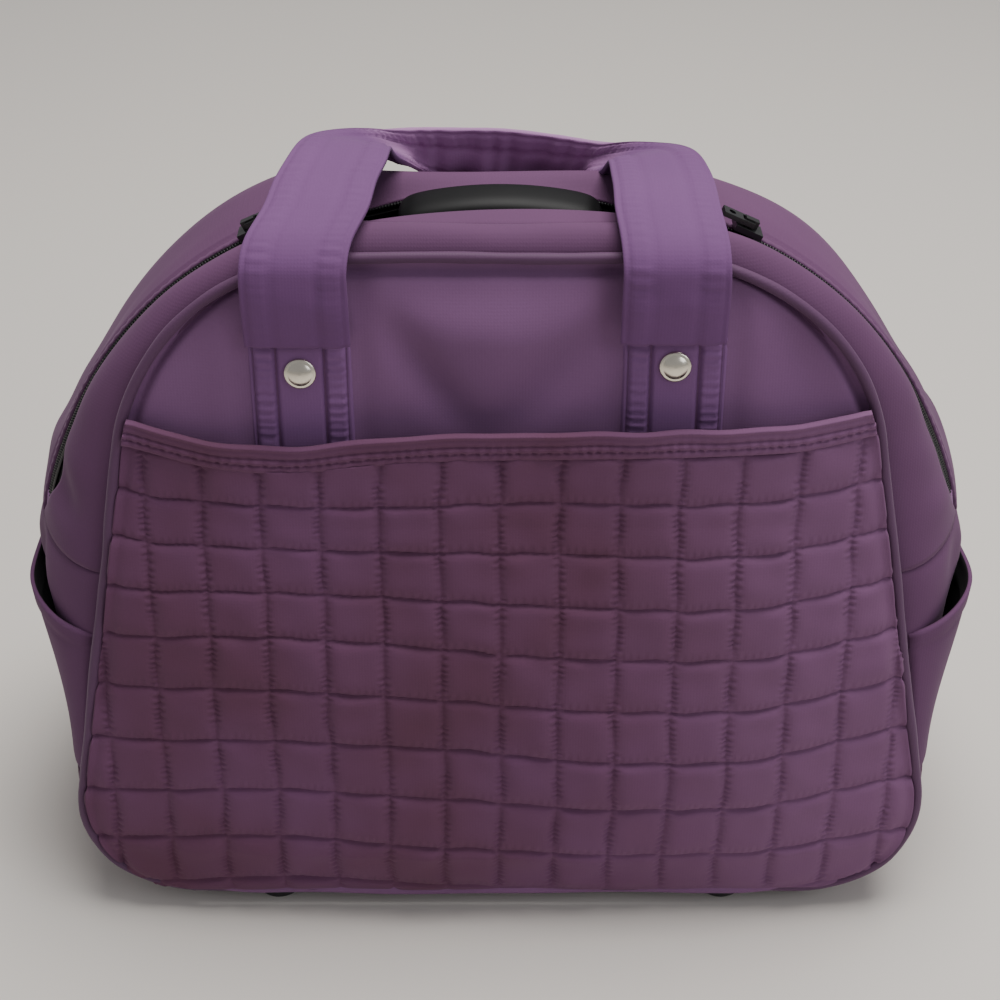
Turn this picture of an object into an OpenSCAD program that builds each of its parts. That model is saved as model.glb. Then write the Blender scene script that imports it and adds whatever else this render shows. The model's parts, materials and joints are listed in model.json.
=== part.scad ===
// Rolling bag: a soft quilted holdall on two wheels, with carry handles and a
// telescopic trolley. X runs across the bag, -Y is its front, +Z is up, and the
// origin is on the floor under the middle of the base. All sizes are in mm.

/* [Bag] */
// Depth of the bag at its base
bag_depth = 200; // [180:1:220]
// Height of the base above the floor
base_z = 10; // [8:1:12]
// Slant height of the front panel
panel_h = 312; // [300:1:320]
// Lean of the front and rear panels towards the middle
panel_lean = 7; // [6:0.5:8]
// How much lower the rear edge is than the front edge
rear_drop = 0.09; // [0.06:0.01:0.1]
// Thickness of the padded shell
wall = 3; // [2:0.5:3]
// Diameter of the piping cord
piping_d = 5; // [4:0.5:6]

/* [Zip] */
// Radius of the circle that the zip follows down each side
zip_r = 187; // [184:1:190]
// Distance of that circle's centre from the middle of the bag
zip_cx = 20; // [18:1:22]
// Height of that circle's centre
zip_cz = 152; // [149:1:155]
// Half length of the gap in the zip for the trolley grip
slit_half = 84; // [80:1:88]

/* [Pockets] */
// Height of the quilted pocket up the panel
pocket_h = 238; // [220:1:245]
// How far the quilted pocket bulges at its middle
pocket_bulge = 15; // [8:1:18]
// Height of a side pocket's mouth
side_mouth_z = 146; // [130:1:150]

/* [Handles] */
// Width of a handle strap
strap_w = 42; // [38:1:44]
// Distance between the two legs of a handle
leg_gap = 150; // [148:1:152]
// Length of the rear handle's legs, up to the middle of its grip
handle_reach = 199; // [190:1:204]

/* [Trolley] */
// Distance between the trolley's tubes
tube_gap = 60; // [59:1:61]
// Width of the grip
grip_w = 86; // [84:1:87]

/* [Wheels] */
// Diameter of a wheel
wheel_d = 56; // [50:1:58]
// Width of a tyre
tyre_w = 20; // [16:1:22]
// Distance between the wheels
wheel_track = 300; // [280:1:310]

/* [Hidden] */

purple = [0.36, 0.26, 0.40];
dark_purple = [0.30, 0.20, 0.34];
black = [0.03, 0.03, 0.035];
grey = [0.55, 0.56, 0.58];
gold = [0.80, 0.76, 0.66];
$fn = 48;

// Outline of the front panel, measured in the panel's own plane
half_depth = bag_depth / 2;
corner_r = 50;
corner_x = 140;
shoulder_r = 98;
shoulder_x = 60;
shoulder_v = panel_h - shoulder_r;
arc_rise = shoulder_v - corner_r;
arc_run = shoulder_x - corner_x;
arc_dist = sqrt(arc_rise * arc_rise + arc_run * arc_run);
// Angle of the outward normal of the straight side
side_a = atan2(arc_rise, arc_run) - acos((corner_r - shoulder_r) / arc_dist);
side_v0 = corner_r + corner_r * sin(side_a);
side_v1 = shoulder_v + shoulder_r * sin(side_a);
zip_end_v = 168;
seam_gap = 0.6;

function on_side(v) = [
    corner_x + (corner_r - (v - corner_r) * sin(side_a)) / cos(side_a), v, cos(side_a), sin(side_a)
];
function arc(cx, cv, r, a) = [cx + r * cos(a), cv + r * sin(a), cos(a), sin(a)];
function flip_x(p) = [-p[0], p[1], -p[2], p[3]];
function mirrored(half) = [for (i = [len(half) - 1 : -1 : 0]) flip_x(half[i])];
function tail(list) = [for (i = [1 : len(list) - 1]) list[i]];
function mix(a, b, t) = a + (b - a) * t;

// Stretches of the outline, each from its lower end to its upper end on the right
bottom_half = concat(
    [for (i = [0 : 3]) [corner_x * i / 4, 0, 0, -1]],
    [for (i = [0 : 6]) arc(corner_x, corner_r, corner_r, -90 + (side_a + 90) * i / 6)]
);
function side_run(v0, v1, n) = [for (i = [0 : n]) on_side(mix(v0, v1, i / n))];
arch_half = concat(
    side_run(zip_end_v, side_v1, 4),
    [for (i = [1 : 12]) arc(shoulder_x, shoulder_v, shoulder_r, side_a + (90 - side_a) * i / 12)],
    [for (i = [1 : 4]) [shoulder_x * (1 - i / 4), panel_h, 0, 1]]
);
bottom_ring = concat(mirrored(tail(bottom_half)), bottom_half);
arch_ring = concat(arch_half, tail(mirrored(arch_half)));
outline_half = concat(bottom_half, tail(side_run(side_v0, zip_end_v, 4)), tail(arch_half));
outline_ring = concat(outline_half, [for (p = mirrored(outline_half)) if (p[0] < -0.01) p]);

// How far the gusset bulges out from the outline at its middle
function on_circle(p) = let (
    d = [p[0] - zip_cx, base_z + p[1] * cos(panel_lean) - zip_cz],
    dn = d[0] * p[2] + d[1] * p[3]
) -dn + sqrt(max(0, dn * dn - d * d + zip_r * zip_r));
side_bulge = on_circle(on_side((zip_cz - base_z) / cos(panel_lean)));
crest_bulge = 9;
shoulder_bulge = 12.2;
shoulder_from = 88;
function top_bulge(x) = mix(crest_bulge, shoulder_bulge, pow(x / shoulder_from, 2));
function right_side(p) = [abs(p[0]), p[1], abs(p[2]), p[3]];
function bulge(p) = let (z = p[1] * cos(panel_lean) / (zip_cz - base_z))
    z < 1 ? side_bulge * pow(max(z, 0), 1.3)
    : abs(p[0]) < shoulder_from ? min(on_circle(right_side(p)), top_bulge(p[0]))
    : on_circle(right_side(p));

// A point on the gusset: s runs from -1 by the front panel to 1 by the rear panel
base_edge = 4;
function depth_at(p) = half_depth - base_edge - p[1] * sin(panel_lean);
function surf(p, s, off) = let (
    b = bulge(p) * sqrt(max(0, 1 - s * s)) + off,
    drop = 1 - rear_drop * pow(max(0, s), 1.5)
) [p[0] + b * p[2], depth_at(p) * s, base_z + p[1] * cos(panel_lean) * drop + b * p[3]];
// Columns between two Y positions at one outline point, spaced round the bulge
function band(p, y0, y1, n, off) = let (a0 = asin(y0 / depth_at(p)), a1 = asin(y1 / depth_at(p)))
    [for (j = [0 : n]) surf(p, sin(mix(a0, a1, j / n)), off)];

// A closed solid between an outer and an inner grid of points
module skin(outer, inner) {
    rows = len(outer);
    cols = len(outer[0]);
    count = rows * cols;
    function at(i, j) = i * cols + j;
    points = concat([for (r = outer) each r], [for (r = inner) each r]);
    top_faces = [for (i = [0 : rows - 2], j = [0 : cols - 2]) each [
        [at(i, j), at(i + 1, j), at(i + 1, j + 1)], [at(i, j), at(i + 1, j + 1), at(i, j + 1)]]];
    side_faces = concat(
        [for (i = [0 : rows - 2], e = [0, cols - 1]) each let (a = at(i, e), b = at(i + 1, e))
            e == 0 ? [[a, a + count, b + count], [a, b + count, b]]
            : [[a, b, b + count], [a, b + count, a + count]]],
        [for (j = [0 : cols - 2], e = [0, rows - 1]) each let (a = at(e, j), b = at(e, j + 1))
            e == 0 ? [[a, b, b + count], [a, b + count, a + count]]
            : [[a, a + count, b + count], [a, b + count, b]]]
    );
    lower_faces = [for (f = top_faces) [f[0] + count, f[2] + count, f[1] + count]];
    polyhedron(points, concat(top_faces, lower_faces, side_faces), convexity = 8);
}

// Places children in the front panel's plane: X across, Y up the slant, Z outwards
module on_front() {
    translate([0, -half_depth, base_z]) rotate([90 - panel_lean, 0, 0]) children();
}
// The same for the rear panel, whose slant height is a little less
rear_scale = 1 - rear_drop;
rear_lean = atan(tan(panel_lean) / rear_scale);
rear_h = panel_h * cos(panel_lean) * rear_scale / cos(rear_lean);
module on_rear() {
    translate([0, half_depth, base_z]) rotate([90 + rear_lean, 0, 0]) mirror([0, 0, 1]) children();
}

housing_w = 34;
housing_d = 64;
housing_h = 56;
wheel_y = 77;
wheel_x = wheel_track / 2;
housing_rear = wheel_y + wheel_d / 2 + 4;
// Room cut in the fabric for one wheel housing
module housing_room(side) {
    translate([side * wheel_x - housing_w / 2 - 1, housing_rear - housing_d - 1, -10])
        cube([housing_w + 2, housing_d + 20, housing_h + 15]);
}

panel_inset = 2.2;
function inset_point(p, scale_v) = [p[0] - panel_inset * p[2], (p[1] - panel_inset * p[3]) * scale_v];

module front_panel() {
    color(purple) on_front() difference() {
        translate([0, 0, -wall]) linear_extrude(wall) polygon([for (p = outline_ring) inset_point(p, 1)]);
        rivet_holes();
    }
}
module rear_panel() {
    color(purple) difference() {
        on_rear() difference() {
            linear_extrude(wall) polygon([for (p = outline_ring) inset_point(p, rear_h / panel_h)]);
            rivet_holes_rear();
        }
        for (side = [-1, 1]) housing_room(side);
    }
}
module base_panel() {
    color(dark_purple) difference() {
        skin(
            [for (p = bottom_ring) band(p, -depth_at(p), depth_at(p), 6, 0)],
            [for (p = bottom_ring) band(p, -depth_at(p), depth_at(p), 6, -wall)]
        );
        for (side = [-1, 1]) housing_room(side);
        for (side = [-1, 1]) translate([side * foot_x, foot_y, 0]) cylinder(r = 1.8, h = 40);
    }
}
side_v = [side_v0 + seam_gap, zip_end_v - seam_gap];
module side_gusset() {
    ring = side_run(side_v[0], side_v[1], 7);
    color(purple) difference() {
        skin(
            [for (p = ring) band(p, -depth_at(p), depth_at(p), 12, 0)],
            [for (p = ring) band(p, -depth_at(p), depth_at(p), 12, -wall)]
        );
        housing_room(1);
    }
}
module side_gusset_right() { side_gusset(); }
module side_gusset_left() { mirror([1, 0, 0]) side_gusset(); }

// The zip: its plane, and the edges of the gap for the grip
zip_y = -38;
zip_half_gap = 2;
slit_front = -12;
slit_rear = 54;
function mid_x(p) = abs(p[0]) + bulge(p) * abs(p[2]);
function slit(p) = sqrt(max(0, 1 - pow(mid_x(p) / slit_half, 3)));
function edge_front(p) = zip_y - zip_half_gap - slit_front * (p[1] > shoulder_v ? slit(p) : 0);
function edge_rear(p) = zip_y + zip_half_gap + slit_rear * (p[1] > shoulder_v ? slit(p) : 0);
// A strip along the zip, from one distance to another behind an edge
module zip_strip(front, y0, y1, off0, off1) {
    skin(
        [for (p = arch_ring) let (e = front ? edge_front(p) : edge_rear(p)) band(p, e + y0, e + y1, 1, off0)],
        [for (p = arch_ring) let (e = front ? edge_front(p) : edge_rear(p)) band(p, e + y0, e + y1, 1, off1)]
    );
}
module zip_gusset_front() {
    color(purple) skin(
        [for (p = arch_ring) band(p, -depth_at(p), edge_front(p), 6, 0)],
        [for (p = arch_ring) band(p, -depth_at(p), edge_front(p), 6, -wall)]
    );
}
module zip_gusset_rear() {
    color(purple) skin(
        [for (p = arch_ring) band(p, edge_rear(p), depth_at(p), 7, 0)],
        [for (p = arch_ring) band(p, edge_rear(p), depth_at(p), 7, -wall)]
    );
}
tape_w = 9;
tape_top = -wall - 1.2;
tape_low = tape_top - 1;
coil_w = 1.7;
module zip_tape_front() { color(black) zip_strip(true, -tape_w, coil_w + 0.2, tape_top, tape_low); }
module zip_tape_rear() { color(black) zip_strip(false, -coil_w - 0.2, tape_w, tape_top, tape_low); }
module zip_coil_front() { color(black) zip_strip(true, 0.2, 0.2 + coil_w, -0.6, -3.2); }
module zip_coil_rear() { color(black) zip_strip(false, -0.2 - coil_w, -0.2, -0.6, -3.2); }
// Stitched patches that close the zip's lower ends
module zip_end_patch() {
    ring = side_run(zip_end_v - 8, zip_end_v + 10, 2);
    skin(
        [for (p = ring) band(p, zip_y - 11, zip_y + 11, 2, 2)],
        [for (p = ring) band(p, zip_y - 11, zip_y + 11, 2, 0.5)]
    );
}
module zip_end_patches() {
    color(purple) {
        zip_end_patch();
        mirror([1, 0, 0]) zip_end_patch();
    }
}

// A round cord along an outline point list, in the front panel's plane
module cord(ring, r, out, lift) {
    n = len(ring);
    sides = 8;
    points = [for (p = ring, k = [0 : sides - 1]) let (a = 360 * k / sides, o = out + r * cos(a))
        [p[0] + o * p[2], p[1] + o * p[3], lift + r * sin(a)]];
    faces = [for (i = [0 : n - 1], k = [0 : sides - 1]) let (
        a = i * sides + k, b = i * sides + (k + 1) % sides,
        c = ((i + 1) % n) * sides + (k + 1) % sides, d = ((i + 1) % n) * sides + k
    ) each [[a, b, c], [a, c, d]]];
    polyhedron(points, faces, convexity = 8);
}
module front_piping() { color(dark_purple) on_front() cord(outline_ring, piping_d / 2, 0.9, 0); }
module rear_piping() {
    color(dark_purple) difference() {
        on_rear() cord([for (p = outline_ring) [p[0], p[1] * rear_h / panel_h, p[2], p[3]]],
            piping_d / 2, 0.9, 0);
        for (side = [-1, 1]) housing_room(side);
    }
}

// The quilted pocket: a padded sheet that stands off the panel, open at its top
pocket_wall = 3;
pocket_edge = 3.4;
function half_width(v) = v < side_v0 ? corner_x + sqrt(max(0, corner_r * corner_r - pow(corner_r - v, 2)))
    : v < side_v1 ? on_side(v)[0]
    : shoulder_x + sqrt(shoulder_r * shoulder_r - pow(v - shoulder_v, 2));
function pocket_lift(v, t) = pocket_edge
    + (6 + (pocket_bulge - 6) * sin(180 * min(v / (pocket_h * 0.98), 0.86)))
    * min(1, v / 30) * (1 - pow(abs(t), 4));
function pocket_row(v, off, n) = [for (j = [0 : n]) let (t = -1 + 2 * j / n)
    [t * (half_width(v) - piping_d), v, pocket_lift(v, t) + off]];
pocket_v = [4, 8, 20, 40, 60, 90, 120, 150, 180, 205, pocket_h - 10];
module quilted_pocket() {
    color(dark_purple) on_front() skin(
        [for (v = pocket_v) pocket_row(v, 0, 16)],
        [for (v = pocket_v) pocket_row(v, -pocket_wall, 16)]
    );
}
module pocket_hem() {
    rows = [pocket_h - 10 + 0.4, pocket_h];
    color(dark_purple) on_front() skin(
        [for (v = rows) pocket_row(v, 0.6, 16)],
        [for (v = rows) pocket_row(v, -pocket_wall, 16)]
    );
}

// Side pockets: a slack sheet over each side gusset, gathered at the mouth
side_mouth_v = (side_mouth_z - base_z) / cos(panel_lean);
side_pocket_y = [-76, 44];
side_pocket_mid = (side_pocket_y[0] + side_pocket_y[1]) / 2;
side_gape = 11;
function pocket_out(p, y) = 1 + side_gape * pow(max(0, (p[1] - side_v0) / (side_mouth_v - side_v0)), 2)
    * (1 - pow((y - side_pocket_mid) / (side_pocket_y[1] - side_pocket_mid), 2));
function pocket_band(p, y0, y1, n, extra) = [for (j = [0 : n]) let (y = mix(y0, y1, j / n))
    surf(p, y / depth_at(p), pocket_out(p, y) + extra)];
module side_pocket() {
    ring = side_run(side_v0 + 6, side_mouth_v - 8.4, 6);
    color(purple) skin(
        [for (p = ring) pocket_band(p, side_pocket_y[0], side_pocket_y[1], 8, 2)],
        [for (p = ring) pocket_band(p, side_pocket_y[0], side_pocket_y[1], 8, 0)]
    );
}
module side_pocket_hem() {
    ring = side_run(side_mouth_v - 8, side_mouth_v, 1);
    color(purple) skin(
        [for (p = ring) pocket_band(p, side_pocket_y[0], side_pocket_y[1], 8, 2.6)],
        [for (p = ring) pocket_band(p, side_pocket_y[0], side_pocket_y[1], 8, 0)]
    );
}
module side_pocket_right() { side_pocket(); }
module side_pocket_left() { mirror([1, 0, 0]) side_pocket(); }
module side_pocket_hem_right() { side_pocket_hem(); }
module side_pocket_hem_left() { mirror([1, 0, 0]) side_pocket_hem(); }

// Zip sliders run round the zip's circle, and each carries a pull tab on a pin
slider_x = 98;
// The zip lies in front of the gusset's crest, so it runs a little inside the circle
slider_r = 184.5;
slider_a = asin((slider_x - zip_cx) / slider_r);
slider_l = 12;
pull_l = 12.5;
// Places children at the right slider: X along the zip away from its gap, Z outwards
module at_slider() {
    translate([zip_cx, zip_y, zip_cz]) rotate([0, slider_a, 0]) translate([0, 0, slider_r]) children();
}
module zip_slider() {
    color(black) at_slider() difference() {
        union() {
            translate([-slider_l / 2, -4.5, 1]) cube([slider_l, 9, 2.4]);
            translate([-3, -1.6, 3.3]) cube([6, 3.2, 3.6]);
        }
        translate([0, 0, 5.2]) rotate([90, 0, 0]) cylinder(r = 1.05, h = 10, center = true);
    }
}
module zip_pull() {
    color(black) at_slider() translate([0, 0, 5.2]) mirror([1, 0, 0]) {
        rotate([90, 0, 0]) cylinder(r = 1, h = 6.4, center = true);
        difference() {
            union() {
                translate([-1.2, -3.2, -1]) cube([5.4, 1.4, 2]);
                translate([-1.2, 1.8, -1]) cube([5.4, 1.4, 2]);
                translate([4, -3.2, -1]) cube([pull_l - 4, 6.4, 2]);
            }
            translate([pull_l - 3.6, 0, 0]) cylinder(r = 1.5, h = 6, center = true);
        }
    }
}
module zip_slider_right() { zip_slider(); }
module zip_slider_left() { mirror([1, 0, 0]) zip_slider(); }
module zip_pull_right() { zip_pull(); }
module zip_pull_left() { mirror([1, 0, 0]) zip_pull(); }

// The rear handle is a flat strap cut as a U and laid along a profile in the YZ plane
strap_t = 3;
inner_r = 5;
leg_x = leg_gap / 2;
turn_x = leg_x - strap_w / 2 - inner_r;
turn_l = handle_reach - strap_w / 2 - inner_r;
// Stations of the U: [x of outer edge, length of outer edge, x of inner edge, length of inner edge]
leg_stations = [for (l = [3, 18, 34, 46, 58, 72, 88, 104, 120, 136, 154, turn_l])
    [-leg_x - strap_w / 2, l, -leg_x + strap_w / 2, l]];
turn_stations = [for (i = [1 : 5]) let (a = 180 - 18 * i)
    [-turn_x + (strap_w + inner_r) * cos(a), turn_l + (strap_w + inner_r) * sin(a),
     -turn_x + inner_r * cos(a), turn_l + inner_r * sin(a)]];
grip_stations = [for (x = [-40, -20, 0])
    [x, handle_reach + strap_w / 2, x, handle_reach - strap_w / 2]];
half_stations = concat(leg_stations, turn_stations, grip_stations);
stations = concat(half_stations, [for (i = [len(half_stations) - 2 : -1 : 0]) let (q = half_stations[i])
    [-q[0], q[1], -q[2], q[3]]]);
function run_lengths(path, i = 0, sum = 0) = i == len(path) ? []
    : let (s = sum + (i == 0 ? 0 : norm(path[i] - path[i - 1]))) concat([s], run_lengths(path, i + 1, s));
function along(path, runs, l) = [
    lookup(l, [for (i = [0 : len(path) - 1]) [runs[i], path[i][0]]]),
    lookup(l, [for (i = [0 : len(path) - 1]) [runs[i], path[i][1]]])
];
function strap_point(path, runs, x, l, off) = let (
    p = along(path, runs, l), q = along(path, runs, l + 4), o = along(path, runs, max(0, l - 4)),
    t = (q - o) / norm(q - o)
) [x, p[0] - off * t[1], p[1] + off * t[0]];
function strap_row(path, runs, q, off) = [for (j = [0 : 3]) let (t = j / 3)
    strap_point(path, runs, mix(q[0], q[2], t), mix(q[1], q[3], t), off)];
module strap(path) {
    runs = run_lengths(path);
    skin([for (q = stations) strap_row(path, runs, q, strap_t / 2)],
         [for (q = stations) strap_row(path, runs, q, -strap_t / 2)]);
}
rear_fold = [79, 262];
// It hangs down behind the bag
rear_path = [rear_fold, [82.5, 230], [88, 200], [93, 160], [98, 110], [101, 70], [103, 30]];
module rear_handle_strap() { color(purple) mirror([0, 1, 0]) strap([for (p = rear_path) [-p[0], p[1]]]); }

// The front handle is one straight strap. It bends back over the piping, lies over the top of the
// bag, and twists at two corners so that its middle hangs on edge behind the trolley's grip.
fold_v = 275;
// The left half as pairs of points on its outer and inner edges, from the hinge line to the middle
front_half = [
    [[-leg_x - 21, -72.1, 286], [-leg_x + 21, -72.1, 286]],
    [[-leg_x - 21, -69.6, 303], [-leg_x + 21, -69.6, 303]],
    [[-leg_x - 21, -67.3, 317.5], [-leg_x + 21, -67.3, 317.5]],
    [[-95.5, -64.8, 324.8], [-53.5, -64.8, 324.8]],
    [[-94, -54, 331], [-52, -54, 331]],
    [[-90.5, -38, 336.5], [-48.8, -38, 336.5]],
    [[-87, -20, 340.5], [-45.4, -20, 340]],
    [[-83, -2, 342], [-44.6, -2, 339.8]],
    [[-79, 9, 341.5], [-44.4, 12, 336]],
    [[-73, 17, 339.5], [-41, 22, 330]],
    [[-61, 30, 335], [-33, 38, 321]],
    [[-46, 41, 330], [-26, 57, 306]],
    [[-26, 48, 327], [-14, 67.5, 294]],
    [[0, 51, 326], [0, 69.5, 286]]
];
front_rows = concat(front_half, [for (i = [len(front_half) - 2 : -1 : 0])
    [for (p = front_half[i]) [-p[0], p[1], p[2]]]]);
function middle(q) = (q[0] + q[1]) / 2;
function row_normal(rows, i) = let (
    along_strap = middle(rows[min(i + 1, len(rows) - 1)]) - middle(rows[max(i - 1, 0)]),
    n = cross(rows[i][1] - rows[i][0], along_strap)
) n / norm(n);
function front_row(i, off) = [for (j = [0 : 3])
    mix(front_rows[i][0], front_rows[i][1], j / 3) + off * row_normal(front_rows, i)];
module front_handle_strap() {
    color(purple) skin([for (i = [0 : len(front_rows) - 1]) front_row(i, strap_t / 2)],
        [for (i = [0 : len(front_rows) - 1]) front_row(i, -strap_t / 2)]);
}

tab_v0 = 180;
tab_t = 2.2;
tab_lift = 0.3;
rivet_v = 262;
rear_tab_top = 248;
rear_rivet_v = 236;
module tab_pair(v0, v1, hole_v) {
    for (side = [-1, 1]) difference() {
        translate([side * leg_x - strap_w / 2, v0, tab_lift]) cube([strap_w, v1 - v0, tab_t]);
        translate([side * leg_x, hole_v, -5]) cylinder(r = 2, h = 12);
    }
}
module front_handle_tabs() { color(purple) on_front() tab_pair(tab_v0, fold_v - 1, rivet_v); }
module rear_handle_tabs() {
    color(purple) on_rear() mirror([0, 0, 1]) tab_pair(150, rear_tab_top, rear_rivet_v);
}
module rivet_holes() {
    for (side = [-1, 1]) translate([side * leg_x, rivet_v, -wall - 3]) cylinder(r = 2, h = 12);
}
module rivet_holes_rear() {
    for (side = [-1, 1]) translate([side * leg_x, rear_rivet_v, -6]) cylinder(r = 2, h = 14);
}
rivet_d = 13;
rivet_h = 3;
dome_r = (pow(rivet_d / 2, 2) + pow(rivet_h, 2)) / (2 * rivet_h);
module rivet_pair(v) {
    base = tab_lift + tab_t + 0.1;
    for (side = [-1, 1]) translate([side * leg_x, v, 0]) {
        intersection() {
            translate([0, 0, base + rivet_h - dome_r]) sphere(r = dome_r);
            translate([0, 0, base]) cylinder(r = rivet_d / 2 - 0.2, h = rivet_h + 1);
        }
        translate([0, 0, -wall - 2.6]) cylinder(r = 1.95, h = base + wall + 3);
    }
}
module front_rivets() { color(gold) on_front() rivet_pair(rivet_v); }
module rear_rivets() { color(gold) on_rear() mirror([0, 0, 1]) rivet_pair(rear_rivet_v); }
module washer() {
    difference() {
        cylinder(r = 6, h = 1.2);
        translate([0, 0, -1]) cylinder(r = 2, h = 4);
    }
}
module rivet_washers() {
    color(grey) for (side = [-1, 1]) {
        on_front() translate([side * leg_x, rivet_v, -wall - 1.5]) washer();
        on_rear() translate([side * leg_x, rear_rivet_v, wall + 0.3]) washer();
    }
}

// Places children at the trolley: origin at the top of the grip, Z up along the tubes
grip_top = 320;
trolley_lean = 7;
module on_trolley() { translate([0, 0, grip_top]) rotate([trolley_lean, 0, 0]) children(); }
module tube_pair() { for (side = [-1, 1]) translate([side * tube_gap / 2, 0, 0]) children(); }
module tube(r, bore, z0, z1) {
    difference() {
        translate([0, 0, z0]) cylinder(r = r, h = z1 - z0);
        translate([0, 0, z0 - 1]) cylinder(r = bore, h = z1 - z0 + 2);
    }
}
tube_r = [10, 8.9, 7.8, 6.7];
tube_bore = [8.95, 7.85, 6.75, 5.7];
tube_low = -300;
collar_h = 6;
collar_top = [-50, -43, -36];
module trolley_outer_tubes() {
    color(grey) on_trolley() tube_pair() tube(tube_r[0], tube_bore[0], tube_low, collar_top[0] - collar_h - 0.1);
}
module trolley_middle_tubes() {
    color(grey) on_trolley() tube_pair() tube(tube_r[1], tube_bore[1], tube_low + 8, collar_top[1] - collar_h - 0.1);
}
module trolley_upper_tubes() {
    color(grey) on_trolley() tube_pair() tube(tube_r[2], tube_bore[2], tube_low + 14, collar_top[2] - collar_h - 0.1);
}
module trolley_inner_tubes() {
    color(grey) on_trolley() tube_pair() tube(tube_r[3], tube_bore[3], tube_low + 20, -20);
}
module collar(stage) {
    color(black) on_trolley() tube_pair() translate([0, 0, collar_top[stage] - collar_h]) difference() {
        cylinder(r = tube_r[stage] + 1.6, h = collar_h);
        translate([0, 0, -1]) cylinder(r = tube_bore[stage], h = collar_h + 2);
    }
}
module outer_collars() { collar(0); }
module middle_collars() { collar(1); }
module upper_collars() { collar(2); }

// The grip is an arch of two shells round a hollow, with a boss on each tube
arch_r = 154;
grip_t = 16;
grip_d = 22;
mid_r = arch_r - grip_t / 2;
cavity_t = 4.2;
cavity_w = 72;
cavity_d = 13;
split_gap = 0.1;
boss_r = 8.9;
// A length of arch under the grip's top point, between two radii
module arch(r0, r1, across, deep) {
    intersection() {
        translate([0, 0, -arch_r]) rotate([90, 0, 0]) difference() {
            cylinder(r = r1, h = deep, center = true, $fn = 180);
            cylinder(r = r0, h = deep + 2, center = true, $fn = 180);
        }
        translate([-across / 2, -deep, -40]) cube([across, 2 * deep, 50]);
    }
}
module trolley_grip() {
    color(black) on_trolley() difference() {
        union() {
            arch(arch_r - grip_t, mid_r - split_gap, grip_w, grip_d);
            tube_pair() translate([0, 0, -33]) cylinder(r = boss_r, h = 16);
        }
        translate([-15.2, -5.2, -40]) cube([30.4, 10.4, 50]);
        translate([-18.4, -6, flange_z - 0.2]) cube([36.8, 12, 20]);
        translate([-tube_gap / 2 - 3, -link_d / 2 - 0.4, -17]) cube([tube_gap + 6, link_d + 0.8, 20]);
        tube_pair() translate([0, 0, -50]) cylinder(r = tube_r[3] + 0.02, h = 30.1);
        tube_pair() translate([0, 0, -22]) cylinder(r = rod_r + 0.6, h = 7);
    }
}
module grip_cover() {
    color(black) on_trolley() difference() {
        arch(mid_r + split_gap, arch_r, grip_w, grip_d);
        arch(mid_r - 1, mid_r + cavity_t, cavity_w, cavity_d);
    }
}
// Two screws hold the shells together from below, behind the button
module grip_screws() {
    color(grey) on_trolley() for (side = [-1, 1]) translate([side * 12, 8.4, -18.5]) cylinder(r = 2.2, h = 1.6);
}
button_low = -18.5;
button_h = 9;
flange_z = -12;
link_top = -7.4;
link_d = 4;
rod_r = 2;
module release_button() {
    color(black) on_trolley() {
        translate([-15, -5, button_low]) cube([30, 10, button_h]);
        translate([-18, -5.8, flange_z]) cube([36, 11.6, button_low + button_h - flange_z]);
    }
}
// The link carries the button's push to a rod down each inner tube
module release_link() {
    color(grey) on_trolley() {
        translate([-18.6, -link_d / 2, link_top - 2]) cube([37.2, link_d, 2]);
        for (side = [-1, 1]) hull() {
            translate([side * 18.4 - 0.5, -link_d / 2, link_top - 2]) cube([1, link_d, 2]);
            translate([side * tube_gap / 2 - 1, -link_d / 2, link_top - 8]) cube([2, link_d, 3]);
        }
        tube_pair() translate([0, 0, -250]) cylinder(r = rod_r, h = 250 + link_top - 6);
    }
}
module button_spring() {
    color(grey) on_trolley() translate([0, 0, link_top + 0.1]) difference() {
        cylinder(r = 3, h = 3.4);
        translate([0, 0, -1]) cylinder(r = 2.2, h = 8);
    }
}

// Boards and brackets inside
screw_x = 12;
board_z = base_z + wall + 3;
module base_board() {
    color(black) difference() {
        translate([-132, -92, board_z]) cube([264, 184, 3]);
        for (side = [-1, 1]) housing_room(side);
        for (side = [-1, 1]) translate([side * foot_x, foot_y, 0]) cylinder(r = 2.1, h = 40);
        for (side = [-1, 1]) translate([side * screw_x, lower_y, 0]) cylinder(r = 2.1, h = 40);
    }
}
module divider_board() {
    color(black) on_trolley() difference() {
        translate([-115, -17, -296]) cube([230, 3, 226]);
        for (side = [-1, 1]) translate([side * screw_x, 0, -85]) rotate([90, 0, 0]) cylinder(r = 2.1, h = 40);
    }
}
module upper_bracket() {
    color(black) on_trolley() difference() {
        translate([-58, -13.6, -92]) cube([116, 27, 14]);
        tube_pair() translate([0, 0, -100]) cylinder(r = tube_r[0] + 0.05, h = 40);
        for (side = [-1, 1]) translate([side * screw_x, 1, -85]) rotate([90, 0, 0]) cylinder(r = 2.1, h = 40);
    }
}
lower_y = 38;
lower_h = 20;
module lower_bracket() {
    color(black) difference() {
        translate([-58, lower_y - 15, board_z + 3.2]) cube([116, 30, lower_h]);
        on_trolley() tube_pair() translate([0, 0, tube_low - 0.1]) cylinder(r = tube_r[0] + 0.05, h = 60);
        for (side = [-1, 1]) translate([side * screw_x, lower_y, 0]) cylinder(r = 2.1, h = board_z + 15);
    }
}
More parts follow.
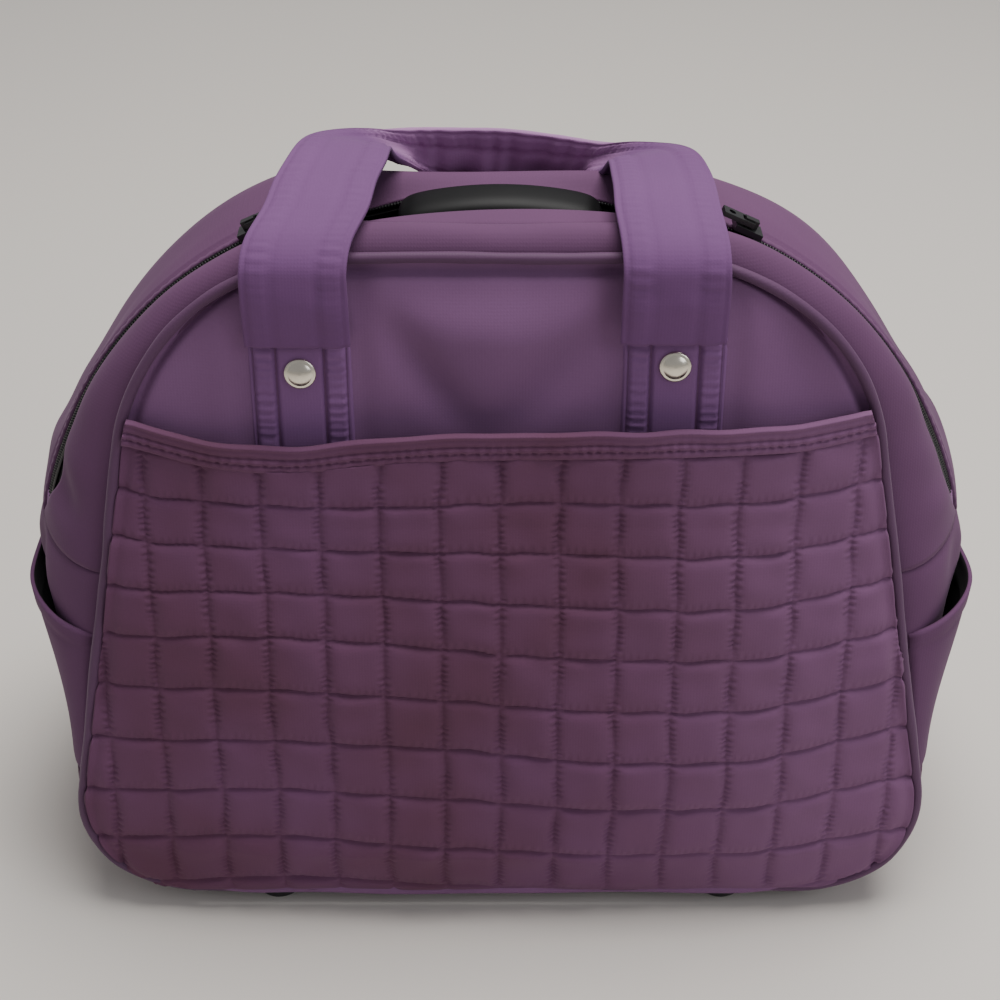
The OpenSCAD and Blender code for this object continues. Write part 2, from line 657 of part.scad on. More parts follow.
module bracket_screws() {
    color(grey) {
        on_trolley() for (side = [-1, 1]) translate([side * screw_x, -17.2, -85]) rotate([90, 0, 0]) {
            cylinder(r = 3.6, h = 2);
            mirror([0, 0, 1]) cylinder(r = 2, h = 16);
        }
        for (side = [-1, 1]) translate([side * screw_x, lower_y, 0]) {
            translate([0, 0, board_z - 2.2]) cylinder(r = 3.6, h = 2);
            translate([0, 0, board_z - 1]) cylinder(r = 2, h = 12);
        }
    }
}

// Wheels in housings let into the rear base corners
wheel_z = wheel_d / 2;
axle_r = 3;
hub_r = 19;
wheel_room = 2;
screw_y = [53, 69];
module housing(side) {
    color(black) translate([side * wheel_x, 0, 0]) difference() {
        intersection() {
            translate([-housing_w / 2, housing_rear - housing_d, 7]) cube([housing_w, housing_d, housing_h]);
            union() {
                translate([0, wheel_y - 3, wheel_z]) rotate([0, 90, 0])
                    cylinder(r = wheel_d / 2 + 7, h = housing_w + 2, center = true);
                translate([-housing_w, 0, 0]) cube([2 * housing_w, wheel_y + 10, housing_h + 20]);
            }
        }
        translate([0, wheel_y, wheel_z]) rotate([0, 90, 0])
            cylinder(r = wheel_d / 2 + wheel_room, h = tyre_w + 2, center = true);
        translate([-tyre_w / 2 - 1, wheel_y - wheel_d / 2 - wheel_room, -20])
            cube([tyre_w + 2, wheel_d + 2 * wheel_room + 20, 20 + wheel_z]);
        translate([-tyre_w / 2 - 1, wheel_y, 0]) cube([tyre_w + 2, wheel_d, wheel_z + 12]);
        translate([0, wheel_y, wheel_z]) rotate([0, 90, 0]) cylinder(r = axle_r + 0.05, h = 60, center = true);
        translate([0, 0, housing_h]) for (y = screw_y) translate([0, y, 0]) cylinder(r = 1.6, h = 40, center = true);
    }
}
module wheel_housing_right() { housing(1); }
module wheel_housing_left() { housing(-1); }
module at_wheel(side) { translate([side * wheel_x, wheel_y, wheel_z]) rotate([0, 90, 0]) children(); }
module wheel_axles() {
    color(grey) for (side = [-1, 1]) at_wheel(side) {
        cylinder(r = axle_r, h = housing_w + 1, center = true);
        for (end = [-1, 1]) translate([0, 0, end * (housing_w / 2 + 1.1)]) cylinder(r = 5, h = 1.8, center = true);
    }
}
module wheel_hub(side) {
    color(grey) at_wheel(side) difference() {
        cylinder(r = hub_r, h = tyre_w - 2, center = true);
        cylinder(r = axle_r + 0.08, h = tyre_w + 4, center = true);
        for (end = [-1, 1]) translate([0, 0, end * tyre_w / 2]) difference() {
            cylinder(r = hub_r - 3, h = 8, center = true);
            cylinder(r = 7, h = 9, center = true);
        }
        for (k = [0 : 4]) rotate([0, 0, 72 * k]) translate([11.4, 0, 0]) cylinder(r = 2.8, h = 30, center = true);
    }
}
module tyre(side) {
    color(black) at_wheel(side) rotate_extrude($fn = 96) polygon([
        [hub_r + 0.05, -tyre_w / 2], [wheel_d / 2 - 2, -tyre_w / 2], [wheel_d / 2, -tyre_w / 2 + 2],
        [wheel_d / 2, tyre_w / 2 - 2], [wheel_d / 2 - 2, tyre_w / 2], [hub_r + 0.05, tyre_w / 2]
    ]);
}
module wheel_hub_right() { wheel_hub(1); }
module wheel_hub_left() { wheel_hub(-1); }
module tyre_right() { tyre(1); }
module tyre_left() { tyre(-1); }
module housing_screws() {
    color(grey) for (side = [-1, 1], y = screw_y) translate([side * wheel_x, y, housing_h + 7.1]) {
        cylinder(r = 3, h = 1.8);
        translate([0, 0, -4]) cylinder(r = 1.5, h = 5);
    }
}

// Front feet under the base, screwed up into the base board
foot_x = 105;
foot_y = -86;
foot_d = 18;
module front_feet() {
    color(black) for (side = [-1, 1]) translate([side * foot_x, foot_y, 0]) difference() {
        union() {
            cylinder(r1 = foot_d / 2 - 2, r2 = foot_d / 2, h = 4);
            translate([0, 0, 4]) cylinder(r = foot_d / 2, h = base_z - 4.6);
        }
        translate([0, 0, 3]) cylinder(r = 1.6, h = 20);
    }
}
module foot_screws() {
    color(grey) for (side = [-1, 1]) translate([side * foot_x, foot_y, 0]) {
        translate([0, 0, 3.5]) cylinder(r = 1.5, h = board_z);
        translate([0, 0, board_z + 3.2]) cylinder(r = 3, h = 1.6);
    }
}

front_panel();
rear_panel();
base_panel();
side_gusset_left();
side_gusset_right();
zip_gusset_front();
zip_gusset_rear();
front_piping();
rear_piping();
quilted_pocket();
pocket_hem();
side_pocket_left();
side_pocket_right();
side_pocket_hem_left();
side_pocket_hem_right();
zip_tape_front();
zip_tape_rear();
zip_coil_front();
zip_coil_rear();
zip_end_patches();
zip_slider_left();
zip_slider_right();
zip_pull_left();
zip_pull_right();
front_handle_strap();
rear_handle_strap();
front_handle_tabs();
rear_handle_tabs();
front_rivets();
rear_rivets();
rivet_washers();
base_board();
divider_board();
upper_bracket();
lower_bracket();
bracket_screws();
trolley_outer_tubes();
trolley_middle_tubes();
trolley_upper_tubes();
trolley_inner_tubes();
outer_collars();
middle_collars();
upper_collars();
trolley_grip();
grip_cover();
grip_screws();
release_button();
release_link();
button_spring();
wheel_housing_left();
wheel_housing_right();
wheel_axles();
wheel_hub_left();
wheel_hub_right();
tyre_left();
tyre_right();
housing_screws();
front_feet();
foot_screws();
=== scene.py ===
import json
import math

import bmesh
import bpy
import numpy as np
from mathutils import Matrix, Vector


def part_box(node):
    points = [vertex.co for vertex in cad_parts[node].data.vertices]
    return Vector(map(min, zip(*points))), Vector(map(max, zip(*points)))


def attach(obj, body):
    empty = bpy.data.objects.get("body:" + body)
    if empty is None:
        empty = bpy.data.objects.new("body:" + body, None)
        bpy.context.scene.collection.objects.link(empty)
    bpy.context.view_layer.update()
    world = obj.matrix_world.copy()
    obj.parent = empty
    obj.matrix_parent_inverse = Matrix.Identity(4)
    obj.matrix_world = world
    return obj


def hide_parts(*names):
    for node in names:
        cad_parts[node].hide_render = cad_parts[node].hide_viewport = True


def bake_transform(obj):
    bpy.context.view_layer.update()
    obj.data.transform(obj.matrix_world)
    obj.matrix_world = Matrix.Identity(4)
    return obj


# The looks of a quilted rolling tote, over its CAD frame. Distances are in metres: -Y is the quilted front,
# +X the right side seen from the front, Z up. On a panel, u is across, v up its plane and w outwards.
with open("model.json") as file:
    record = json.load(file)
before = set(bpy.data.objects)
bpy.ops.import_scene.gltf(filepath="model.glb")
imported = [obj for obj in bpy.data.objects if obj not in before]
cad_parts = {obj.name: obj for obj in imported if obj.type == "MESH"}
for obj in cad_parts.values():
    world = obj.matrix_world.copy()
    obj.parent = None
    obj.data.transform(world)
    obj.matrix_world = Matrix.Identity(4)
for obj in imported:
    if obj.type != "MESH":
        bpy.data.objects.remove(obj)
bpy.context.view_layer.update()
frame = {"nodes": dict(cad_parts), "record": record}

# ---- sizes, as in the CAD model
LEAN = math.radians(7.0)
SIN, COS = math.sin(LEAN), math.cos(LEAN)
BASE_Z = 0.010
HALF_DEPTH = 0.100
EDGE = 0.004
PANEL_H = 0.312
CORNER_R, CORNER_X = 0.050, 0.140
SHOULDER_R, SHOULDER_X = 0.098, 0.060
SHOULDER_V = PANEL_H - SHOULDER_R
REAR_DROP = 0.09
REAR_LEAN = math.atan(math.tan(LEAN) / (1 - REAR_DROP))
ZIP_R, ZIP_CX, ZIP_CZ, ZIP_Y = 0.187, 0.020, 0.152, -0.038
ZIP_END_V = 0.168
SLIT_HALF, SLIT_FRONT, SLIT_REAR = 0.084, -0.010, 0.0485
POCKET_H = 0.238
STRAP_W, LEG_X, REACH = 0.042, 0.075, 0.199
STRAP_SHIFT = -0.005
FOLD_V, RIVET_V, HINGE_Z = 0.275, 0.2665, 0.283

# the straight flank touches the corner's circle and the shoulder's: its angle, and where it meets them
FLANK_RISE, FLANK_RUN = SHOULDER_V - CORNER_R, SHOULDER_X - CORNER_X
FLANK_TURN = math.acos((CORNER_R - SHOULDER_R) / math.hypot(FLANK_RISE, FLANK_RUN))
SIDE_A = math.atan2(FLANK_RISE, FLANK_RUN) - FLANK_TURN
SIDE_V0 = CORNER_R + CORNER_R * math.sin(SIDE_A)
SIDE_V1 = SHOULDER_V + SHOULDER_R * math.sin(SIDE_A)

# ---- sizes of the cloth
PANEL_CLOTH, GUSSET_CLOTH, SIDE_POCKET_CLOTH = 0.0020, 0.0016, 0.0018
QUILT_CLOTH, HEM_CLOTH, TAPE_CLOTH = 0.0022, 0.0030, 0.0006
STRAP_HALF = 0.0017
PANEL_INSET = 0.0002
SIDES = {-1: "left", 1: "right"}
SEAM_FADE = 0.030


# ---- shaping functions
def smooth(x, a, b):
    """0 below a, 1 above b, smooth between."""
    t = np.clip((np.asarray(x, float) - a) / (b - a), 0, 1)
    return t * t * (3 - 2 * t)


def bump(x, centre, width):
    """A bell curve, 1 at its centre."""
    return np.exp(-(((np.asarray(x, float) - centre) / width) ** 2))


def fold(u, v, height, at, size):
    """A soft ridge: at is its middle, and size its half-widths, in u and v."""
    return height * bump(u, at[0], size[0]) * bump(v, at[1], size[1])


def waves(points, size, seed):
    """Smooth noise of about -1 to 1 over 3-D points, with features of the given size."""
    count = 9
    r = np.random.default_rng(seed)
    k = r.normal(size=(count, 3))
    k *= (math.tau / size) / np.linalg.norm(k, axis=1)[:, None] * r.uniform(0.6, 1.3, (count, 1))
    phase = r.uniform(0, math.tau, count)
    return np.sin(points @ k.T + phase).sum(axis=-1) / math.sqrt(count)


def wave1(x, size, seed):
    """Smooth noise of about -1 to 1 along a line."""
    count = 5
    r = np.random.default_rng(seed)
    f = math.tau / size * r.uniform(0.6, 1.4, count)
    return sum(np.sin(f[i] * x + r.uniform(0, 6.28)) for i in range(count)) / math.sqrt(count)


def lengths(path):
    """The distance along a path to each of its points."""
    return np.r_[0, np.cumsum(np.linalg.norm(np.diff(path, axis=0), axis=1))]


def sample(path, run, at):
    """A path's rows at the distances in at, where run is the distance to each of its own rows."""
    return np.stack([np.interp(at, run, column) for column in path.T], axis=1)


def signed_power(x, power):
    return np.sign(x) * np.abs(x) ** power


def circle(count):
    return np.linspace(0, math.tau, count, endpoint=False)


# ---- mesh making
def new_object(name, verts, faces, mat, uvs=None, body="bag"):
    """A smooth-shaded mesh object that rides on a body, or on none when body is empty."""
    mesh = bpy.data.meshes.new(name)
    mesh.from_pydata([tuple(v) for v in np.asarray(verts, float)], [], faces)
    mesh.update()
    if uvs is not None:
        layer = mesh.uv_layers.new(name="UVMap")
        index = np.empty(len(mesh.loops), dtype=np.int32)
        mesh.loops.foreach_get("vertex_index", index)
        layer.data.foreach_set("uv", np.asarray(uvs, float)[index].ravel())
    mesh.polygons.foreach_set("use_smooth", [True] * len(mesh.polygons))
    mesh.materials.append(mat)
    obj = bpy.data.objects.new(name, mesh)
    bpy.context.scene.collection.objects.link(obj)
    if body:
        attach(obj, body)
    return obj


def grid_faces(n, m, closed_n=False, closed_m=False):
    """Faces of an n by m grid of points, joined round either way where it is closed."""
    faces = []
    for i in range(n if closed_n else n - 1):
        for j in range(m if closed_m else m - 1):
            a, b = i * m + j, ((i + 1) % n) * m + j
            c, d = ((i + 1) % n) * m + (j + 1) % m, i * m + (j + 1) % m
            faces.append((a, d, c, b))
    return faces


def flipped(faces):
    return [face[::-1] for face in faces]


def capped_faces(n, m):
    """Faces of n rings of m points, with a cap over each end."""
    return grid_faces(n, m, closed_m=True) + [tuple(range(m))[::-1], tuple(range((n - 1) * m, n * m))]


def grid_uv(p):
    """A cloth grid's own lengths, so that a pattern keeps its scale."""
    du = lengths(p[:, p.shape[1] // 2])
    dv = lengths(p[p.shape[0] // 2])
    return np.stack(np.meshgrid(dv, du), axis=-1).reshape(-1, 2)


def sheet_grid(name, p, mat, thick, lined=True):
    """Cloth from an (n, m, 3) grid whose rows x columns face outwards, with its thickness inwards."""
    n, m = p.shape[:2]
    obj = new_object(name, p.reshape(-1, 3), grid_faces(n, m), mat, grid_uv(p))
    mod = obj.modifiers.new("thickness", "SOLIDIFY")
    mod.thickness, mod.offset = thick, -1.0
    if lined:
        obj.data.materials.append(M_LINING)
        mod.material_offset, mod.material_offset_rim = 1, 0
    return obj


def tube_mesh(path, radius, sides, closed=False):
    """Vertices and faces of a round tube along a path of points. radius may vary along it."""
    path = np.asarray(path, float)
    n = len(path)
    t = np.roll(path, -1, 0) - np.roll(path, 1, 0) if closed else np.gradient(path, axis=0)
    t /= np.linalg.norm(t, axis=1)[:, None]
    side = np.cross(t, [0.0, 1.0, 0.0])
    weak = np.linalg.norm(side, axis=1) < 0.2
    side[weak] = np.cross(t[weak], [1.0, 0, 0])
    side /= np.linalg.norm(side, axis=1)[:, None]
    other = np.cross(side, t)
    a = circle(sides)
    r = np.broadcast_to(np.asarray(radius, float), (n,))[:, None, None]
    ring = np.cos(a)[None, :, None] * side[:, None] + np.sin(a)[None, :, None] * other[:, None]
    verts = (path[:, None] + r * ring).reshape(-1, 3)
    return verts, flipped(grid_faces(n, sides, True, True) if closed else capped_faces(n, sides))


def many(name, parts, mat):
    """One object from a list of (verts, faces)."""
    verts, faces, count = [], [], 0
    for v, f in parts:
        verts.append(np.asarray(v))
        faces += [tuple(i + count for i in q) for q in f]
        count += len(v)
    return new_object(name, np.concatenate(verts), faces, mat)


# ---- the bag's surface
def outline_half(step=0.003):
    """The front panel's outline from the bottom centre up the right side to the top centre: u, v, nu, nv."""
    rows = []

    def arc(cx, cv, r, a0, a1):
        for a in np.linspace(a0, a1, max(3, int(r * abs(a1 - a0) / step)))[1:]:
            rows.append((cx + r * math.cos(a), cv + r * math.sin(a), math.cos(a), math.sin(a)))

    for u in np.linspace(0, CORNER_X, int(CORNER_X / step)):
        rows.append((u, 0, 0, -1))
    arc(CORNER_X, CORNER_R, CORNER_R, -math.pi / 2, SIDE_A)
    for v in np.linspace(SIDE_V0, SIDE_V1, int((SIDE_V1 - SIDE_V0) / step))[1:]:
        rows.append((float(flank_u(v)), v, math.cos(SIDE_A), math.sin(SIDE_A)))
    arc(SHOULDER_X, SHOULDER_V, SHOULDER_R, SIDE_A, math.pi / 2)
    for u in np.linspace(SHOULDER_X, 0, int(SHOULDER_X / step))[1:]:
        rows.append((u, PANEL_H, 0, 1))
    return np.array(rows)


def flank_u(v):
    return CORNER_X + (CORNER_R - (v - CORNER_R) * math.sin(SIDE_A)) / math.cos(SIDE_A)


def half_width(v):
    """Half the panel's width at height v."""
    v = np.asarray(v, float)
    low = CORNER_X + np.sqrt(np.maximum(0, CORNER_R**2 - (CORNER_R - v) ** 2))
    top = SHOULDER_X + np.sqrt(np.maximum(0, SHOULDER_R**2 - (v - SHOULDER_V) ** 2))
    return np.where(v < SIDE_V0, low, np.where(v < SIDE_V1, flank_u(v), top))


def flip(ring):
    """The other half's outline."""
    return (ring * [-1, 1, -1, 1])[::-1]


def at_height(ring, v):
    i = np.searchsorted(ring[:, 1], v)
    t = (v - ring[i - 1, 1]) / (ring[i, 1] - ring[i - 1, 1])
    return ring[i - 1 : i] * (1 - t) + ring[i : i + 1] * t


def between(ring, v0, v1=None):
    """The part of the right half's outline from height v0 to v1, or to its end."""
    if v1 is None:
        return np.concatenate([at_height(ring, v0), ring[ring[:, 1] > v0 + 1e-6]])
    inside = ring[(ring[:, 1] > v0 + 1e-6) & (ring[:, 1] < v1 - 1e-6)]
    return np.concatenate([at_height(ring, v0), inside, at_height(ring, v1)])


def dense(ring, step=0.0022):
    """The outline with evenly spaced rows, and the distance to each."""
    run = lengths(ring[:, :2])
    s = np.linspace(0, run[-1], int(run[-1] / step) + 1)
    out = sample(ring, run, s)
    out[:, 2:] /= np.linalg.norm(out[:, 2:], axis=1)[:, None]
    return out, s


HALF = outline_half()
RING = np.concatenate([HALF, flip(HALF)[1:-1]])
ARCH_HALF = between(HALF, ZIP_END_V)
ARCH = np.concatenate([ARCH_HALF, flip(ARCH_HALF)[1:]])
BASE_HALF = HALF[HALF[:, 1] <= SIDE_V0 + 1e-9]


def on_circle(u, v, nu, nv):
    """How far the zip's circle lies outside the panel's outline, along the outline's normal."""
    dx, dz = u - ZIP_CX, BASE_Z + v * COS - ZIP_CZ
    dn = dx * nu + dz * nv
    return -dn + np.sqrt(np.maximum(0, dn * dn - dx * dx - dz * dz + ZIP_R**2))


ZIP_CV = (ZIP_CZ - BASE_Z) / COS
SIDE_BULGE = float(on_circle(half_width(ZIP_CV), ZIP_CV, math.cos(SIDE_A), math.sin(SIDE_A)))
TOP_BULGE, CROWN_X, CROWN_RISE = 0.009, 0.088, 0.0032


def bulge(ring):
    """How far the gusset stands out at mid-depth: to the zip's circle, but less over the crown."""
    u, v, nu, nv = np.abs(ring[:, 0]), ring[:, 1], np.abs(ring[:, 2]), ring[:, 3]
    z = v * COS / (ZIP_CZ - BASE_Z)
    arc = on_circle(u, v, nu, nv)
    top = TOP_BULGE + CROWN_RISE * (u / CROWN_X) ** 2
    upper = np.where(u < CROWN_X, np.minimum(arc, top), arc)
    return np.where(z < 1, SIDE_BULGE * np.maximum(z, 0) ** 1.3, upper)


def depth_at(ring):
    """Half the gusset's depth, from the middle plane to the piping."""
    return HALF_DEPTH - EDGE - ring[:, 1] * SIN


def surf(ring, y, off):
    """Points on the gusset, at Y positions y and distances outwards off, with a row for each row of ring."""
    s = np.clip(y / depth_at(ring)[:, None], -1, 1)
    b = bulge(ring)[:, None] * np.sqrt(np.maximum(0, 1 - s * s)) + off
    drop = 1 - REAR_DROP * np.maximum(0, s) ** 1.5
    z = BASE_Z + ring[:, 1:2] * COS * drop + b * ring[:, 3:4]
    return np.stack([ring[:, 0:1] + b * ring[:, 2:3], y, z], axis=-1)


def columns(ring, y0, y1, m):
    """Y positions between two edges, spaced evenly round the bulge, and each column's share of the way."""
    depth = depth_at(ring)
    a0, a1 = np.arcsin(np.clip(y0 / depth, -1, 1)), np.arcsin(np.clip(y1 / depth, -1, 1))
    t = np.linspace(0, 1, m)
    return depth[:, None] * np.sin(a0[:, None] * (1 - t) + a1[:, None] * t), t


def panel(u, v, w):
    """A point over the front panel, w outwards."""
    return np.stack([u, -HALF_DEPTH + v * SIN - w * COS, BASE_Z + v * COS + w * SIN], axis=-1)


def rear_panel_point(u, v, w):
    """A point over the rear panel, w outwards. v is the front panel's height for the same point."""
    y = HALF_DEPTH - v * SIN + w * math.cos(REAR_LEAN)
    return np.stack([u, y, BASE_Z + v * COS * (1 - REAR_DROP) + w * math.sin(REAR_LEAN)], axis=-1)


def slit(ring, power):
    """How far the zip's gap for the trolley's grip is open: 1 at its middle, 0 at its ends."""
    x = np.abs(ring[:, 0]) + bulge(ring) * np.abs(ring[:, 2])
    open_ = np.sqrt(np.maximum(0, 1 - (x / SLIT_HALF) ** power))
    return np.where(ring[:, 1] > SHOULDER_V, open_, 0)


# ---- materials
def nodes_of(name):
    mat = bpy.data.materials.new(name)
    mat.use_nodes = True
    return mat, mat.node_tree, mat.node_tree.nodes["Principled BSDF"]


def wire(tree, node, **values):
    """Sets a node's inputs by name, to values or other nodes' outputs. Other names are its settings."""
    for key, value in values.items():
        socket = node.inputs.get(key.replace("_", " "))
        if socket is None:
            setattr(node, key, value)
        elif isinstance(value, bpy.types.NodeSocket):
            tree.links.new(value, socket)
        else:
            socket.default_value = value
    return node


def add(tree, kind, **values):
    return wire(tree, tree.nodes.new("ShaderNode" + kind), **values)


def math_node(tree, operation, a, b):
    node = add(tree, "Math", operation=operation)
    tree.links.new(a, node.inputs[0])
    tree.links.new(b, node.inputs[1])
    return node.outputs[0]


def shades(colour, spread):
    """A darker and a lighter shade of a colour."""
    return tuple(c * (1 - spread) for c in colour), tuple(min(1, c * (1 + spread)) for c in colour)


def ramp(tree, source, low, high, c0, c1):
    node = add(tree, "ValToRGB", Fac=source.outputs["Fac"])
    first, last = node.color_ramp.elements
    first.position, last.position = low, high
    first.color, last.color = (*c0, 1), (*c1, 1)
    return node.outputs["Color"]


def paint_light_along_axis(tree, place, base, axis, start, end, colour):
    """Painted light: the cloth turns to a lighter shade from start to end along an axis of the bag."""
    along = add(tree, "SeparateXYZ", Vector=place).outputs[axis]
    share = add(tree, "MapRange", interpolation_type="SMOOTHSTEP", From_Min=start, From_Max=end, Value=along)
    mixed = add(tree, "Mix", data_type="RGBA", Factor=share.outputs["Result"], A=base, B=(*colour, 1))
    return mixed.outputs["Result"]


def fabric(name, colour, spread=0.10, weave=0.00040, rough=0.8, sheen=0.1, relief=0.14, tint=None, painted_light=None):
    """Woven microfibre: fine crossed threads, slow changes of shade, fuzz and a soft sheen. painted_light, if
    given, paints a lighter shade along one axis of the bag.
    """
    mat, tree, bsdf = nodes_of(name)
    place = add(tree, "TexCoord").outputs["Object"]
    broad = add(tree, "TexNoise", Vector=place, Scale=9.0, Detail=3.0, Roughness=0.55)
    fine = add(tree, "TexNoise", Vector=place, Scale=900.0, Detail=2.0, Roughness=0.6)
    base = ramp(tree, broad, 0.32, 0.68, shades(colour, spread)[0], shades(tint or colour, spread)[1])
    if painted_light:
        base = paint_light_along_axis(tree, place, base, *painted_light)
    speckle = ramp(tree, fine, 0.3, 0.7, (0.72,) * 3, (1.12,) * 3)
    mixed = add(tree, "Mix", data_type="RGBA", blend_type="MULTIPLY", Factor=0.10, A=base, B=speckle)
    threads = [
        add(tree, "TexWave", wave_type="BANDS", bands_direction=direction, Vector=place, Scale=0.1 / weave,
            Distortion=1.2, Detail=1.0).outputs["Fac"]
        for direction in ("X", "Z")
    ]
    height = math_node(tree, "ADD", math_node(tree, "MULTIPLY", *threads), fine.outputs["Fac"])
    normal = add(tree, "Bump", Strength=relief, Distance=0.00025, Height=height).outputs["Normal"]
    wire(tree, bsdf, Base_Color=mixed.outputs["Result"], Normal=normal, Roughness=rough,
         Specular_IOR_Level=0.25, Sheen_Weight=sheen, Sheen_Roughness=0.45,
         Sheen_Tint=(*[min(1, 0.35 + c * 1.6) for c in colour], 1))
    return mat


def solid(name, colour, rough=0.4, metal=0.0, grain=60.0, relief=0.08, spread=0.15, specular=0.5):
    """Moulded plastic, rubber or metal, with fine grain and uneven gloss."""
    mat, tree, bsdf = nodes_of(name)
    place = add(tree, "TexCoord").outputs["Object"]
    noise = add(tree, "TexNoise", Vector=place, Scale=grain, Detail=4.0, Roughness=0.6)
    gloss = add(tree, "MapRange", Value=noise.outputs["Fac"], To_Min=rough - 0.08, To_Max=rough + 0.10)
    fine = add(tree, "TexNoise", Vector=place, Scale=grain * 25, Detail=2.0).outputs["Fac"]
    normal = add(tree, "Bump", Strength=relief, Distance=0.0002, Height=fine).outputs["Normal"]
    wire(tree, bsdf, Base_Color=ramp(tree, noise, 0.3, 0.7, *shades(colour, spread)), Normal=normal,
         Roughness=gloss.outputs["Result"], Metallic=metal, Specular_IOR_Level=specular)
    return mat


M_PURPLE = fabric("purple_microfibre", (0.200, 0.092, 0.205))
# Painted shade: the gussets and side pockets are the panels' purple cloth, painted darker.
M_GUSSET_SHADED = fabric("gusset_microfibre_painted_shade", (0.118, 0.048, 0.113))
# Painted shade and painted light: the front handle's webbing is painted darker than the same webbing on the
# tabs, and lighter along Y where its grip lies behind the dome.
M_STRAP_PAINTED_SHADE_AND_LIGHT = fabric("strap_microfibre_painted_shade_and_light", (0.150, 0.062, 0.172), spread=0.08,
                 painted_light=("Y", 0.025, 0.045, (0.36, 0.18, 0.36)))
M_TAB = fabric("tab_microfibre", (0.205, 0.092, 0.232), spread=0.08)
# Painted light: the quilted pocket is painted lighter and more violet towards the bag's right, the side the
# window light comes from.
M_QUILT_LIT_RIGHT = fabric("quilted_microfibre_painted_light", (0.134, 0.048, 0.092), spread=0.16, tint=(0.130, 0.052, 0.118),
                 painted_light=("X", 0.02, 0.15, (0.185, 0.082, 0.172)))
M_BASE = fabric("base_cloth", (0.115, 0.048, 0.092), sheen=0.15)
M_PIPING = fabric("piping_satin", (0.100, 0.043, 0.098), rough=0.6, sheen=0.2)
M_LINING = fabric("black_lining", (0.010, 0.009, 0.011), spread=0.2, sheen=0.05)
M_TAPE = fabric("zip_tape", (0.012, 0.011, 0.013), spread=0.2, weave=0.0009, sheen=0.08, relief=0.5)
M_COIL = solid("zip_coil", (0.012, 0.012, 0.013), rough=0.32)
M_GRIP = solid("grip_gloss", (0.004, 0.004, 0.0045), rough=0.5, grain=30, relief=0.02, specular=0.22)
M_PLASTIC = solid("black_plastic", (0.018, 0.018, 0.019), rough=0.5, relief=0.25)
M_RUBBER = solid("tyre_rubber", (0.016, 0.016, 0.016), rough=0.7, relief=0.3)
M_HUB = solid("hub_plastic", (0.16, 0.16, 0.17), rough=0.45)
M_TUBE = solid("tube_aluminium", (0.62, 0.63, 0.65), rough=0.28, metal=1.0, grain=200)
M_STEEL = solid("zinc_steel", (0.50, 0.50, 0.52), rough=0.3, metal=1.0, grain=120)
M_RIVET = solid("rivet_metal", (0.80, 0.75, 0.64), rough=0.24, metal=1.0, grain=90, spread=0.08)
M_BOARD = solid("stiffener_board", (0.03, 0.03, 0.032), rough=0.6)

CAD_MATERIALS = {
    "purple_fabric": M_PURPLE, "base_fabric": M_BASE, "quilted_fabric": M_QUILT_LIT_RIGHT, "piping_fabric": M_PIPING,
    "zip_tape": M_TAPE, "zip_coil": M_COIL, "black_metal": M_COIL, "rivet_metal": M_RIVET, "steel": M_STEEL,
    "tube_aluminium": M_TUBE, "board": M_BOARD, "black_plastic": M_PLASTIC, "grip_plastic": M_GRIP,
    "hub_plastic": M_HUB, "black_rubber": M_RUBBER,
}
for part in frame["record"]["subparts"]:
    obj = frame["nodes"].get(part["node"])
    if obj:
        for slot in obj.material_slots:
            slot.link = "OBJECT"
            slot.material = CAD_MATERIALS[part["material_slot"]]


# ---- front and rear panels
def panel_grid(rows, cols):
    """u and v over a whole panel, with closer columns towards its sides."""
    v = np.linspace(PANEL_INSET, PANEL_H - PANEL_INSET, rows)[:, None] * np.ones((1, cols))
    even = np.linspace(-1, 1, cols)[None, :]
    t = 0.6 * np.sin(even * math.pi / 2 * 0.999) + 0.4 * even
    return t * (half_width(v) - PANEL_INSET), v


def front_panel():
    """Slack cloth hangs in a broad V between the handle's roots, with a hollow down each side of it."""
    u, v = panel_grid(190, 190)
    edge = np.minimum((half_width(v) - np.abs(u)), PANEL_H - v)
    fall = smooth(edge, 0.0, 0.035)
    w = 0.0025 * fall
    w = w + fall * 0.0010 * waves(panel(u, v, w) * [1, 1, 0.6], 0.09, 3)
    rise = v - 0.250
    spread = 0.016 + 0.55 * np.maximum(0, rise)
    w += fall * 0.0060 * bump(u, -0.004 - 0.1 * rise, spread) * smooth(v, 0.240, 0.292)
    w -= fall * fold(u + 0.55 * rise, v, 0.0040, (-0.022, 0.268), (0.010, 0.024))
    w -= fall * fold(u - 0.75 * rise, v, 0.0034, (0.014, 0.272), (0.013, 0.028))
    beside = [np.abs(u - STRAP_SHIFT - side * LEG_X) for side in (-1, 1)]
    for side, distance in zip((-1, 1), beside):
        w -= fold(u * side + 0.2 * rise, v, 0.0034, (0.124, 0.266), (0.014, 0.030))
        w -= 0.0014 * bump(distance, 0.024, 0.006) * smooth(v, 0.20, 0.24)
        w += fall * fold(u * side, v, 0.0022, (0.146, 0.248), (0.018, 0.028))
    # the cloth lies flat where the handle's roots are sewn to it
    pressed = 0.0012
    for distance in beside:
        under = 1 - smooth(distance, STRAP_W / 2, STRAP_W / 2 + 0.008)
        w = np.where(w > pressed, w + (pressed - w) * under * smooth(v, 0.165, 0.180), w)
    w -= 0.0030 * bump(edge, 0.0045, 0.0025)
    return sheet_grid("front_panel_cloth", panel(u, v, w), M_PURPLE, PANEL_CLOTH)


def rear_panel():
    u, v = panel_grid(170, 150)
    edge = np.minimum(half_width(v) - np.abs(u), np.minimum(PANEL_H - v, v))
    fall = smooth(edge, 0.0, 0.03)
    unevenness = waves(rear_panel_point(u, v, 0 * u), 0.09, 12)
    w = 0.0012 * fall + fall * 0.0010 * unevenness - 0.0014 * bump(edge, 0.004, 0.003)
    obj = sheet_grid("rear_panel_cloth", rear_panel_point(u, v, w)[:, ::-1], M_PURPLE, PANEL_CLOTH)
    cut_for_housings(obj)
    return obj


